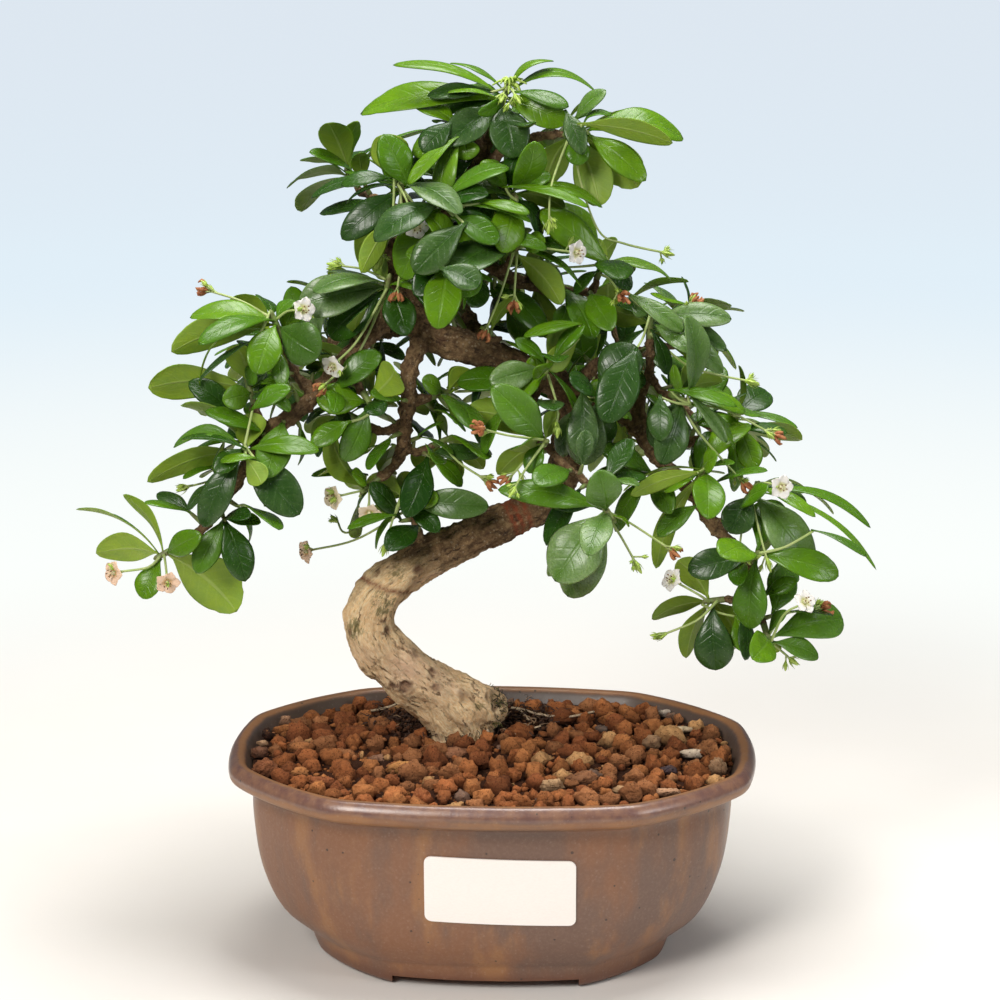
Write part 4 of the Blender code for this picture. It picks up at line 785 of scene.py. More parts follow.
def petal(s, edge, throat):
    """Petals deepen to their throat and have a faint grain."""
    spread = s.parts(s.attribute("blade", "Vector"))[1]
    grain = s.noise(s.place(), 1600.0, 3.0)
    colour = s.mix(s.between(spread, 0.45, 0.12), edge, throat)
    return {
        "Base Color": s.mix(s.between(grain, 0.4, 0.8, 0.0, 0.25), colour, tuple(0.8 * c for c in edge)),
        "Roughness": 0.55,
        "Subsurface Weight": 0.2,
        "Subsurface Radius": (1.0, 0.9, 0.7),
        "Subsurface Scale": 0.5 * MM,
        "Normal": s.bump(grain, 0.3, 0.15 * MM),
    }


# Pot


def arc(start, end, bow, steps):
    """Points from start up to, but not at, end on an arc that bows to the right of the way there."""
    chord = Vector(end) - Vector(start)
    out = Vector((chord.y, -chord.x)).normalized()
    points = []
    for i in range(steps):
        t = i / steps
        points.append(Vector(start) + chord * t + out * bow * 4.0 * t * (1.0 - t))
    return points


def pot_outline(steps=PANEL_STEPS):
    """The lip's outer edge seen from above, anticlockwise from the middle of the right end."""
    a, b = POT_HALF_WIDTH, POT_HALF_DEPTH
    corner_side = (a - SIDE_BOW, SIDE_PANEL_HALF)
    corner_back = (FRONT_PANEL_HALF, b - FRONT_BOW)
    side = arc((a - SIDE_BOW, -SIDE_PANEL_HALF), corner_side, SIDE_BOW, 2 * steps[2])[steps[2]:]
    corner = arc(corner_side, corner_back, CORNER_BOW, steps[1])
    back = arc(corner_back, (-FRONT_PANEL_HALF, b - FRONT_BOW), FRONT_BOW, 2 * steps[0])[:steps[0]]
    quarter = side + corner + back
    half = quarter + [Vector((0.0, b))] + [Vector((-p.x, p.y)) for p in reversed(quarter[1:])]
    return half + [Vector((-p.x, -p.y)) for p in half]


def softened(outline, passes=3):
    """The outline with its corners eased, as glaze fills them."""
    for _ in range(passes):
        before, after = outline[-1:] + outline[:-1], outline[1:] + outline[:1]
        outline = [(a + 2 * b + c) / 4 for a, b, c in zip(before, outline, after)]
    return outline


def pot_ring(outline, level):
    """The wall's outline at one level of the profile."""
    across = (POT_HALF_WIDTH - level[0] * MM) / POT_HALF_WIDTH
    along = (POT_HALF_DEPTH - level[1] * MM) / POT_HALF_DEPTH
    return [Vector((p.x * across, p.y * along, level[2] * MM)) for p in outline]


def eased_profile(levels, share, steps):
    """A profile with each turning point rounded between two points on its neighbouring stretches."""
    points = [Vector(level) for level in levels]
    made = [points[0]]
    for a, b, c in zip(points, points[1:], points[2:]):
        start, end = b.lerp(a, share), b.lerp(c, share)
        made += [start.lerp(b, t).lerp(b.lerp(end, t), t) for t in (i / steps for i in range(steps + 1))]
    made.append(points[-1])
    return made


class PotLook(bpy.types.PropertyGroup):
    body_colour: FloatVectorProperty(
        name="Body", description="The glaze's brown", subtype="COLOR", size=3, default=(0.21, 0.09, 0.042)
    )
    grey_colour: FloatVectorProperty(
        name="Grey", description="Grey clouds in the glaze", subtype="COLOR", size=3,
        default=(0.145, 0.079, 0.054)
    )
    ochre_colour: FloatVectorProperty(
        name="Ochre", description="Where the glaze is thin", subtype="COLOR", size=3,
        default=(0.31, 0.14, 0.05)
    )
    lip_colour: FloatVectorProperty(
        name="Lip", description="The lip's purple-brown edge", subtype="COLOR", size=3,
        default=(0.135, 0.062, 0.05)
    )
    profile_steps: IntProperty(
        name="Profile steps", description="Points on each rounded turn of the wall", default=4, min=2, max=12
    )


class BuildPot(bpy.types.Operator):
    """Build the glazed pot with its feet and drain holes"""

    bl_idname = "bonsai.build_pot"
    bl_label = "Pot"

    def execute(self, context):
        look = context.scene.bonsai_pot
        outline = softened(pot_outline())
        levels = eased_profile(POT_OUTSIDE + POT_INSIDE, TURN_SHARE, look.profile_steps)
        walked = [0.0]
        for a, b in zip(levels, levels[1:]):
            walked.append(walked[-1] + (b.xz - a.xz).length)
        crest = walked[max(range(len(levels)), key=lambda k: levels[k].z)]
        verts, faces = loft([pot_ring(outline, level) for level in levels])
        nearest = point_tree(list(enumerate(verts)))
        span_x, span_y, far = FOOT_SPAN_X / 2, FOOT_SPAN_Y / 2, POT_HALF_WIDTH
        guides = [
            box_shape((-span_x, -far, -far), (span_x, far, FOOT_LIFT)),
            box_shape((-far, -span_y, -far), (far, span_y, FOOT_LIFT)),
        ]
        floor_top = 2 * POT_INSIDE[-1][2] * MM
        for middle in ((-DRAIN_HOLE_X, 0.0), (DRAIN_HOLE_X, 0.0)):
            guides.append(loft([circle_ring(middle, DRAIN_HOLE_RADIUS, 32, z) for z in (0.0, floor_top)]))
        cutters = [add_object("guide", mesh_of("guide", *guide, ())) for guide in guides]
        context.view_layer.update()
        cuts = [("BOOLEAN", {"operation": "DIFFERENCE", "object": cutter}) for cutter in cutters]
        material = make_material("brown_glaze", glaze, look)
        mesh = through_modifiers("glazed_pot", (verts, faces), material, *cuts)
        for cutter in cutters:
            bpy.data.objects.remove(cutter)
        rows = [nearest.find(v.co)[1] // len(outline) for v in mesh.vertices]
        store(mesh, "reach", "FLOAT", [crest - walked[row] for row in rows])
        mesh.transform(Matrix.Translation(POT_PLACE))
        mesh.shade_smooth()
        mesh.set_sharp_from_angle(angle=SHARP_EDGE)
        finish_piece("glazed_pot", mesh, "pot_glaze", "pot")
        return {"FINISHED"}


class BuildLabel(bpy.types.Operator):
    """Build the blank card on the pot's front"""

    bl_idname = "bonsai.build_label"
    bl_label = "Label card"

    def execute(self, context):
        tree = surface_tree(bpy.data.objects["glazed_pot"].data)
        bottom, top = (corner.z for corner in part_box("label"))
        grid = []
        for i in range(LABEL_COLUMNS + 1):
            x = LABEL_HALF_WIDTH * math.sin(math.pi * (i / LABEL_COLUMNS - 0.5))
            side = max(0.0, abs(x) - (LABEL_HALF_WIDTH - LABEL_CORNER))
            trim = LABEL_CORNER - math.sqrt(max(0.0, LABEL_CORNER * LABEL_CORNER - side * side))
            lean = -math.tan(LABEL_LEAN) * x
            low, high = LABEL_BOTTOM + trim + lean, LABEL_TOP - trim + lean
            for j in range(LABEL_ROWS + 1):
                start = Vector((LABEL_MIDDLE_X + x, -2 * POT_HALF_DEPTH, low + (high - low) * j / LABEL_ROWS))
                grid.append(tree.ray_cast(POT_PLACE + start, Vector((0.0, 1.0, 0.0)))[0])
        lifts = (LABEL_GAP + LABEL_THICK, LABEL_BACK_GAP)
        verts = [Vector((p.x, p.y - lift, min(max(p.z, bottom), top))) for lift in lifts for p in grid]
        faces = sheet_faces(LABEL_COLUMNS, LABEL_ROWS)
        mesh = mesh_of("blank_label", verts, faces, (make_material("white_card", card),))
        mesh.set_sharp_from_angle(angle=math.radians(40.0))
        finish_piece("blank_label", mesh, "card", "label")
        return {"FINISHED"}


class DressDrainMeshes(bpy.types.Operator):
    """Give the two drain meshes their plastic finish"""

    bl_idname = "bonsai.dress_drain_meshes"
    bl_label = "Drain meshes"

    def execute(self, context):
        for name in ("drain_mesh_left", "drain_mesh_right"):
            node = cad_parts[name]
            dress(node.data, make_material("green_plastic", plastic))
        return {"FINISHED"}


# Soil


RED_CLAY = (
    (0.41, 0.145, 0.048), (0.35, 0.115, 0.038), (0.46, 0.175, 0.058), (0.275, 0.087, 0.031), (0.38, 0.155, 0.062)
)
PEAT_COLOUR = (0.105, 0.05, 0.027)
ODD_GRAINS = (
    # drawn below this share, colour, its darkest and its brightest
    (0.03, (0.66, 0.36, 0.15), 0.8, 1.1),
    (0.06, (0.25, 0.155, 0.11), 0.8, 1.2),
)
SOIL_TOP = 72.5 * MM
SPECIAL_GRAINS = (
    # pixel, size in millimetres (right, away, up), colour
    ((402, 766), (8.0, 5.0, 4.0), (0.52, 0.24, 0.08)),
    ((376, 757), (6.5, 4.0, 3.0), (0.30, 0.16, 0.10)),
    ((300, 770), (5.5, 3.5, 3.0), (0.48, 0.20, 0.07)),
    ((552, 782), (6.0, 4.5, 5.0), (0.50, 0.32, 0.17)),
    ((626, 788), (7.0, 4.0, 3.4), (0.46, 0.29, 0.15)),
    ((668, 790), (6.5, 4.0, 3.2), (0.50, 0.29, 0.17)),
    ((672, 776), (3.6, 3.2, 3.2), (0.48, 0.22, 0.09)),
    ((680, 728), (11.0, 4.0, 3.2), (0.60, 0.46, 0.29)),
    ((653, 740), (6.0, 4.5, 4.5), (0.33, 0.20, 0.11)),
    ((692, 752), (7.5, 3.4, 2.8), (0.72, 0.58, 0.44)),
    ((664, 711), (5.0, 3.0, 2.8), (0.66, 0.55, 0.45)),
    ((718, 762), (5.0, 5.0, 7.0), (0.33, 0.20, 0.11)),
    ((281, 717), (4.2, 3.8, 3.8), (0.40, 0.22, 0.13)),
    ((262, 742), (3.6, 3.0, 2.4), (0.46, 0.28, 0.16)),
    ((261, 731), (4.4, 4.0, 4.0), (0.008, 0.007, 0.008)),
    ((255, 750), (5.0, 4.2, 3.6), (0.16, 0.075, 0.045)),
    ((667, 768), (5.5, 4.0, 2.8), (0.055, 0.045, 0.055)),
    ((603, 727), (4.5, 3.5, 2.6), (0.15, 0.115, 0.095)),
    ((265, 765), (6.5, 5.5, 5.5), (0.27, 0.10, 0.045)),
    ((455, 752), (8.5, 5.5, 4.5), (0.28, 0.125, 0.065)),
    ((582, 775), (8.5, 5.0, 4.2), (0.30, 0.135, 0.065)),
    ((620, 758), (5.5, 4.5, 4.8), (0.36, 0.15, 0.06)),
    ((302, 746), (7.5, 5.5, 4.5), (0.38, 0.15, 0.055)),
    ((322, 778), (7.0, 5.5, 5.0), (0.30, 0.10, 0.04)),
)
SPECIAL_SIZE = 0.62
SPECIAL_GLOW = 1.15
GRAIN_ROUGHNESS = 0.27
GRAIN_BUMPS = ((1.0, 2.4), (0.6, 5.5), (0.3, 12.0))
PLANE_REACH = (0.55, 0.95)
COARSE_BELOW = 2.6 * MM
GRAIN_CELL = 9.0 * MM
NEAR_SIDE = -30.0 * MM
CRUMB_SINK = 0.9 * MM
PEAT_MIDDLE = (467, 723)
PEAT_SPAN = Vector((45.0, 28.0)) * MM
PEAT_FROM = 0.15
ROOT_COUNT = 480
MOSS_COUNT = 110
LOOSE_ROOTS = (
    # pixels that a loose pale root passes, and its radius in millimetres
    (((490, 712), (515, 709), (540, 715), (568, 718), (594, 713)), 0.5),
    (((364, 712), (378, 709), (392, 708), (404, 700)), 0.6),
    (((424, 712), (431, 722), (437, 731)), 0.5),
    (((400, 700), (412, 712), (420, 722)), 0.4),
    (((512, 707), (522, 713), (529, 722)), 0.35),
    (((448, 712), (444, 720), (447, 729)), 0.3),
    (((473, 714), (484, 722), (488, 733)), 0.7),
    (((515, 734), (528, 729), (541, 728)), 0.4),
)


class SoilLook(bpy.types.PropertyGroup):
    grains: IntProperty(name="Granules", description="How many granules are tried", default=5200, min=100)
    crumbs: IntProperty(name="Crumbs", description="How many crumbs are tried", default=5200, min=0)
    crumb: FloatProperty(name="Crumb", description="A crumb's radius", subtype="DISTANCE", default=1.25 * MM)
    smallest: FloatProperty(
        name="Smallest", description="The smallest granule's radius", subtype="DISTANCE", default=1.35 * MM
    )
    largest: FloatProperty(
        name="Largest", description="The largest granule's radius", subtype="DISTANCE", default=4.8 * MM
    )
    brim: FloatProperty(
        name="Brim", description="How far granules keep from the lip", subtype="DISTANCE", default=9.2 * MM
    )


def ball(subdivisions):
    """Unit directions all round and their triangles."""
    work = bmesh.new()
    bmesh.ops.create_icosphere(work, subdivisions=subdivisions, radius=1.0)
    points = np.array([v.co[:] for v in work.verts])
    faces = np.array([[v.index for v in f.verts] for f in work.faces])
    work.free()
    return points, faces


def broken_grain(draw, directions, sizes, planes):
    """A grain's points: a ball worn by random planes, its faces roughened."""
    normals = draw.normal(size=(planes, 3))
    normals /= np.linalg.norm(normals, axis=1)[:, None]
    facing = np.maximum(directions @ normals.T, 0.0) / draw.uniform(*PLANE_REACH, planes)
    radii = 1.0 / np.maximum((facing ** 16).sum(axis=1) ** (1 / 16), 0.92)
    shift = draw.uniform(0, 100, 3)
    bumps = [
        sum(size * noise.noise(Vector(d * pitch + shift)) for size, pitch in GRAIN_BUMPS) for d in directions
    ]
    radii = radii * (1.0 + GRAIN_ROUGHNESS * np.array(bumps))
    turn = Euler(draw.uniform(0, math.tau, 3)).to_matrix()
    return (directions * radii[:, None]) @ np.array(turn) * np.array(sizes)


def inside_pot(outline, x, y, margin):
    """Whether a point lies inside the outline by a margin."""
    for a, b in zip(outline, outline[1:] + outline[:1]):
        edge = b - a
        if (edge.x * (y - a.y) - edge.y * (x - a.x)) / edge.length < margin:
            return False
    return True


def peat_share(x, y):
    """1 in the middle of the peat round the trunk, 0 at its ragged edge and outside."""
    middle = on_level(PEAT_MIDDLE, SOIL_TOP)
    ragged = 0.3 * noise.noise(Vector((x, y, 0.0)) / (9 * MM))
    return max(0.0, 1.0 + ragged - math.hypot((x - middle.x) / PEAT_SPAN.x, (y - middle.y) / PEAT_SPAN.y))


def grains_mesh(name, grains, draw):
    fine, middling, coarse = ball(4), ball(3), ball(2)
    verts, faces, colours, shades, first = [], [], [], [], 0
    for place, sizes, colour, special in grains:
        directions, triangles = coarse
        if max(sizes) > COARSE_BELOW:
            directions, triangles = fine if special and place[1] < NEAR_SIDE else middling
        points = broken_grain(draw, directions, sizes, 7 if special else int(draw.integers(7, 13)))
        # Painted shade and light: each grain is painted darker towards its bottom, where shade lies between the grains,
        # and lighter at its top, as light falls from above; grain_colour keeps the colour with this painted shade in
        # it.
        shade = np.clip(0.5 + points[:, 2] / (1.8 * max(sizes[2], 0.5 * MM)), 0.0, 1.0) ** 1.4
        verts.append(points + np.array(place))
        faces.append(triangles + first)
        colours.append(np.column_stack([np.outer(0.03 + 1.32 * shade, colour), np.ones(len(points))]))
        shades.append(shade)
        first += len(points)
    material = make_material("clay_grains", clay, False)
    mesh = mesh_of(name, np.concatenate(verts), np.concatenate(faces).tolist(), (material,))
    store(mesh, "grain_colour", "FLOAT_COLOR", np.concatenate(colours))
    store(mesh, "grain_shade", "FLOAT", np.concatenate(shades))
    mesh.set_sharp_from_angle(angle=SHARP_EDGE)
    return mesh


class GrainBed:
    """The grains laid so far, and whether a place among them is free."""

    def __init__(self):
        self.cells, self.grains = {}, []

    def keep(self, place, sizes, colour, special):
        self.grains.append((place, sizes, colour, special))
        x, y = place[:2]
        cell = self.cells.setdefault((int(x // GRAIN_CELL), int(y // GRAIN_CELL)), [])
        cell.append((x, y, float(sizes[:2].mean())))

    def free(self, x, y, radius, share):
        i, j = int(x // GRAIN_CELL), int(y // GRAIN_CELL)
        near = (g for a in (i - 1, i, i + 1) for b in (j - 1, j, j + 1) for g in self.cells.get((a, b), ()))
        return all((x - g[0]) ** 2 + (y - g[1]) ** 2 > (share * (radius + g[2])) ** 2 for g in near)


class BuildSoil(bpy.types.Operator):
    """Lay loose granules of baked clay, stones and peat over the soil"""

    bl_idname = "bonsai.build_soil"
    bl_label = "Soil"

    def execute(self, context):
        look = context.scene.bonsai_soil
        draw = np.random.default_rng(4)
        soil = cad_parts["soil"]
        # The soil under the granules is painted dark: partly damp soil, partly painted shade in the gaps between the
        # granules.
        dress(soil.data, make_material("damp_shaded_soil", clay, True))
        ground = surface_tree(soil.data)
        wood = surface_tree(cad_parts["wood"].data)
        inset = look.brim / MM
        rim = pot_ring(pot_outline(ROUGH_PANEL_STEPS), (inset, inset, 0.0))
        rim = [p.xy + POT_PLACE.xy for p in rim]
        low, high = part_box("soil")
        bed = GrainBed()
        for pixel, sizes, colour in SPECIAL_GRAINS:
            sizes = np.array(sizes) * MM * SPECIAL_SIZE
            place = on_level(pixel, SOIL_TOP + sizes[2])
            while not inside_pot(rim, place.x, place.y, 0.7 * float(sizes[:2].mean())):
                place = place.lerp(POT_PLACE, 0.01)
            colour = tuple(SPECIAL_GLOW * c for c in colour)
            bed.keep((place.x, place.y, SOIL_TOP + 0.5 * sizes[2]), sizes, colour, True)
        for k in range(look.grains + look.crumbs):
            crumb = k >= look.grains
            x, y = draw.uniform(low.x, high.x), draw.uniform(low.y, high.y)
            peat = peat_share(x, y)
            if crumb or peat > PEAT_FROM:
                radius = look.crumb * draw.uniform(0.4, 1.0 if peat < PEAT_FROM else 0.8)
            else:
                share = min(1.0, 1.25 * k / look.grains) ** 0.7
                radius = (look.largest + (look.smallest - look.largest) * share) * draw.uniform(0.85, 1.12)
            if not inside_pot(rim, x, y, radius * 0.8) or not bed.free(x, y, radius, 0.5 if crumb else 0.8):
                continue
            hit = ground.ray_cast(Vector((x, y, 0.2)), -UP)[0]
            if hit is None:
                continue
            z = hit.z + radius * draw.uniform(-0.05, 0.5) + min(1.0, 2.0 * peat) * draw.uniform(0.2, 3.4) * MM
            if crumb and peat < PEAT_FROM:
                z -= CRUMB_SINK
            if wood.find_nearest(Vector((x, y, z)))[3] < radius * 0.7:
                continue
            base = np.array(RED_CLAY[int(draw.integers(len(RED_CLAY)))]) * draw.uniform(0.72, 1.18)
            kind = draw.random()
            if peat > PEAT_FROM or crumb and peat > 0.0:
                base = np.array(PEAT_COLOUR) * draw.uniform(0.3, 1.4)
            else:
                for below, colour, darkest, brightest in ODD_GRAINS:
                    if kind < below:
                        base = np.array(colour) * draw.uniform(darkest, brightest)
                        break
            bed.keep((x, y, z), radius * draw.uniform(0.74, 1.18, 3), tuple(base), False)
        for name, right in (("granules_left", False), ("granules_right", True)):
            members = [grain for grain in bed.grains if (grain[0][0] >= POT_PLACE.x) == right]
            finish_piece(name, grains_mesh(name, members, draw), "baked_clay")
        return {"FINISHED"}


class BuildRoots(bpy.types.Operator):
    """Lay the fine roots that show round the trunk's foot, and the moss on its cut end"""

    bl_idname = "bonsai.build_roots"
    bl_label = "Fine roots and moss"

    def execute(self, context):
        draw = random.Random(3)
        shapes, colours = [], []

        def add(route, spacing, colour):
            shapes.append(tube_shape(smooth_route(route, spacing), 4))
            colours.extend([(*colour, 1.0)] * len(shapes[-1][0]))

        def wander(place, heading, length, radius, colour):
            route = [(place, radius)]
            for k in range(6):
                heading = (heading + scattered(draw, -0.75, 0.75) - UP * 0.06 * k).normalized()
                place = place + heading * length / 6
                route.append((place, radius * (0.9 - 0.1 * k)))
            add(route, length / 9, colour)

        for pixels, radius in LOOSE_ROOTS:
            points = [on_level(pixel, SOIL_TOP + 3.0 * MM) for pixel in pixels]
            knots = [(p + UP * draw.uniform(-0.3, 1.0) * MM, radius * MM) for p in points]
            add(knots, 1.5 * MM, (0.62, 0.46, 0.30))
        middle = on_level(PEAT_MIDDLE, SOIL_TOP)
        for _ in range(ROOT_COUNT):
            angle, out = draw.uniform(0.0, math.tau), draw.uniform(0.2, 0.9)
            x, y = math.cos(angle), math.sin(angle)
            lift = draw.uniform(1.0, 4.5) * MM
            place = middle + Vector((x * PEAT_SPAN.x * out, y * PEAT_SPAN.y * out, lift))
            heading = Vector((x, y, draw.uniform(-0.4, 0.25)))
            colour = (0.40, 0.25, 0.14) if draw.random() < 0.14 else (0.05, 0.022, 0.012)
            wander(place, heading, draw.uniform(2.5, 7.5) * MM, draw.uniform(0.13, 0.36) * MM, colour)
        end = to_world(Vector(CROWN_END[-1][:3]))
        for _ in range(MOSS_COUNT):
            spans = ((0.0, 1.0), (-1.0, 0.3), (-0.7, 0.9))
            way = Vector([draw.uniform(*span) for span in spans]).normalized()
            colour = (0.20, 0.19, 0.05) if draw.random() < 0.35 else (0.035, 0.035, 0.015)
            wander(end + way * 7.6 * MM, way, draw.uniform(1.5, 4.0) * MM, 0.22 * MM, colour)
        mesh = mesh_of("fine_roots", *joined(shapes), (make_material("root_fibre", root_fibre),))
        store(mesh, "grain_colour", "FLOAT_COLOR", colours)
        finish_piece("fine_roots", mesh, "bark")
        return {"FINISHED"}


# Shoots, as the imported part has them


def welded(node):
    """A node's points in the tree's own frame in millimetres, and which points each is joined to."""
    work = bmesh.new()
    work.from_mesh(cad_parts[node].data)
    bmesh.ops.remove_doubles(work, verts=work.verts, dist=WELD)
    work.verts.index_update()
    points = [to_tree(v.co) for v in work.verts]
    near = [{edge.other_vert(v).index for edge in v.link_edges} for v in work.verts]
    work.free()
    return points, near


def middle_of(points, indices):
    return sum((points[i] for i in indices), Vector()) / len(indices)


def find_stem(points, near):
    """The stem's tip and its way: the tip is joined to five points that stand evenly round the axis."""
    for tip, ring in enumerate(near):
        if len(ring) != 5:
            continue
        middle = middle_of(points, ring)
        if all(abs((points[i] - middle).length - STEM_RADIUS) < LATTICE_SLACK for i in ring):
            if abs((points[tip] - middle).length - STEM_TIP) < LATTICE_SLACK:
                return tip, (points[tip] - middle).normalized()
    raise ValueError("the shoot has no stem")


def on_stem(place, tip, ahead):
    down = (tip - place).dot(ahead)
    out = ((place - tip) + ahead * down).length
    if abs(out - STEM_RADIUS) > LATTICE_SLACK:
        return False
    for foot in (0.0, STEM_FOOT):
        rows = (down - STEM_TIP - foot) / STEM_ROW
        if rows > -0.1 and abs(rows - round(rows)) * STEM_ROW < LATTICE_SLACK:
            return True
    return False


def levels_from(first, members, near):
    """The rings of a leaf or a stalk, from the stem outwards."""
    levels, seen, ring = [], set(first), set(first)
    while ring:
        levels.append(sorted(ring))
        ring = (set().union(*(near[i] for i in ring)) & members) - seen
        seen |= ring
    return levels


def read_leaf(points, near, root, levels):
    """A leaf's curve, upper side and width, from its rings."""
    rings = []
    for level in levels[:-1]:
        first = level[0]
        across = next(i for i in level[1:] if i not in near[first])
        pairs = ((first, across), tuple(i for i in level[1:] if i != across))
        pairs = sorted(pairs, key=lambda pair: abs((points[pair[0]] - points[pair[1]]).length - LEAF_THICK))
        rings.append(pairs)
    (high, low), (left, right) = rings[1]
    normal = (points[high] - points[low]).normalized()
    if normal.dot(points[left] + points[right] - points[high] - points[low]) < 0.0:
        normal = -normal
    tip = points[levels[-1][0]]
    k, t = (1, LONG_LEAF_AT[1]) if len(rings) == len(LONG_LEAF_AT) else (0, SHORT_LEAF_AT[0])
    bend = (middle_of(points, rings[k][0]) - root * (1 - t) ** 2 - tip * t * t) / (2 * t * (1 - t))
    width = (points[left] - points[right]).length
    return {"root": root, "bend": bend, "tip": tip, "normal": normal, "width": width}


def read_shoot(node):
    """The stem, the leaves and the stalks of one shoot of the part, in the tree's millimetres."""
    points, near = welded(node)
    tip_index, ahead = find_stem(points, near)
    tip = points[tip_index]
    stem = {i for i, p in enumerate(points) if on_stem(p, tip, ahead)} | {tip_index}
    length = max((tip - points[i]).dot(ahead) for i in stem)
    shoot = {"tip": tip, "ahead": ahead, "foot": tip - ahead * length, "leaves": [], "stalks": []}
    waiting = set(range(len(points))) - stem
    while waiting:
        members, edge = set(), {waiting.pop()}
        while edge:
            members |= edge
            edge = (set().union(*(near[i] for i in edge)) - stem) - members
        waiting -= members
        first = {i for i in members if near[i] & stem}
        levels = levels_from(first, members, near)
        root = middle_of(points, {j for i in first for j in near[i] & stem})
        if [len(level) for level in levels] in ([4, 4, 4, 1], [4, 4, 1]):
            shoot["leaves"].append(read_leaf(points, near, root, levels))
        elif all(len(level) == 4 for level in levels):
            route = [(root, 0.5)]
            for level in levels:
                middle = middle_of(points, level)
                route.append((middle, (points[level[0]] - middle).length))
            last = route[-1][1]
            kind = min(END_RADII, key=lambda key: abs(END_RADII[key] - last))
            shoot["stalks"].append({"route": route, "kind": kind})
        else:
            raise ValueError(f"{node} has a piece with rings of {[len(level) for level in levels]}")
    return shoot


SHOOT_NODES = sorted(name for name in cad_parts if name.startswith("shoot_"))
FLOWER_NODES = sorted(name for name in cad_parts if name.startswith("flower_"))
_shoots = {}


def shoots():
    if not _shoots:
        _shoots.update({node: read_shoot(node) for node in SHOOT_NODES})
    return _shoots


def nearest_tip(pixel, depth=lambda tip: 0.0):
    """The shoot's tip that shows nearest to a pixel."""
    tips = (shoot["tip"] for shoot in shoots().values())
    return min(tips, key=lambda tip: math.dist(pixel_of(tip), pixel) + depth(tip))


# Wood


class WoodLook(bpy.types.PropertyGroup):
    voxel: FloatProperty(
        name="Detail", description="Size of the facets", subtype="DISTANCE", default=0.72 * MM
    )
    trunk_colour: FloatVectorProperty(
        name="Trunk", description="Pale old bark", subtype="COLOR", size=3, default=(0.88, 0.57, 0.28)
    )
    branch_colour: FloatVectorProperty(
        name="Branches", description="Dark rough bark", subtype="COLOR", size=3, default=(0.14, 0.078, 0.036)
    )


KNOTS = (
    # pixel, radius in millimetres, how far it stands out and how dark its middle is
    ((387, 630), 2.0, 0.35, 1.0),
    ((433, 673), 2.3, 0.45, 0.9),
    ((436, 687), 2.2, 0.35, 0.9),
    ((463, 696), 2.2, 0.35, 0.7),
    ((405, 686), 2.8, 0.7, 1.0),
    ((416, 653), 2.3, 0.3, 0.8),
    ((418, 570), 2.0, 0.5, 1.0),
    ((392, 686), 2.0, 0.4, 1.0),
    ((350, 632), 1.8, 0.4, 0.8),
    ((440, 337), 2.6, 0.6, 0.3),
    ((495, 700), 5.0, 0.9, 0.7),
)
# Where algae colour the bark: pixel, radius in millimetres, strength.
GREEN_PATCHES = (
    ((384, 606), 6.0, 0.9), ((353, 629), 5.5, 1.0), ((398, 572), 5.0, 0.8), ((374, 640), 5.0, 0.35),
    ((427, 700), 6.0, 0.45), ((450, 545), 7.0, 0.5), ((478, 706), 5.0, 0.6), ((413, 560), 5.0, 0.6),
)
# Where the bark is worn to its warm inside: pixel, radius in millimetres, strength.
PINK_PATCHES = (
    ((408, 668), 9.0, 0.9), ((440, 680), 9.0, 0.6), ((365, 655), 6.0, 0.5), ((478, 690), 6.0, 0.3),
)
# Where wire has marked the trunk: pixel, how far the ring leans to the level.
WIRE_MARKS = (((509, 512), 0.0), ((516, 510), 0.0), ((524, 507), 0.0), ((379, 587), 1.3))
WIRE_WIDTH = 1.1 * MM
WIRE_DEPTH = 0.3 * MM
LIMB_NODE = 8.0 * MM
LOW_TRUNK = 134.0
HIGH_TRUNK = 163.0


def all_routes(trunk_step, limb_step):
    routes = {name: smooth_route(in_metres(points), limb_step) for name, points in LIMBS.items()}
    routes["trunk"] = smooth_route(in_metres(TRUNK), trunk_step)
    return routes


def spur_route(routes, place):
    """The spur that carries a shoot, as in the part: it leaves the limb low and turns up at its end."""
    away, name, k = min(
        ((p - place).length, name, k) for name, route in routes.items() for k, (p, _) in enumerate(route)
    )
    if away < LIMB_END:
        return None
    root, radius = routes[name][k]
    middle = root.lerp(place, 0.5) - UP * (SPUR_SAG * away)
    thick = min(SPUR_RADII[0], radius * SPUR_SHARE)
    return [(root, thick), (middle, (thick + SPUR_RADII[1]) / 2), (place, SPUR_RADII[1])]


class Grain:
    """Finds, for a point on the wood, how far along, round and out from which route it lies."""

    def __init__(self, routes):
        self.samples = []
        for name, route in routes.items():
            walked = 0.0
            for k, ((place, radius), axes) in enumerate(zip(route, frames_along(route))):
                if k:
                    walked += (place - route[k - 1][0]).length
                self.samples.append((name, place, radius, axes, walked))
        numbered = list(enumerate(self.samples))
        self.trees = [
            point_tree([(i, sample[1]) for i, sample in numbered if (sample[0] == "trunk") == trunk])
            for trunk in (True, False)
        ]

    def at(self, place):
        found = [
            (abs(away - self.samples[i][2]), i) for tree in self.trees for _, i, away in tree.find_n(place, 3)
        ]
        name, middle, radius, (ahead, side, up), walked = self.samples[min(found)[1]]
        out = place - middle
        return name, radius, Vector((out.dot(side), out.dot(up), walked + out.dot(ahead))), ahead


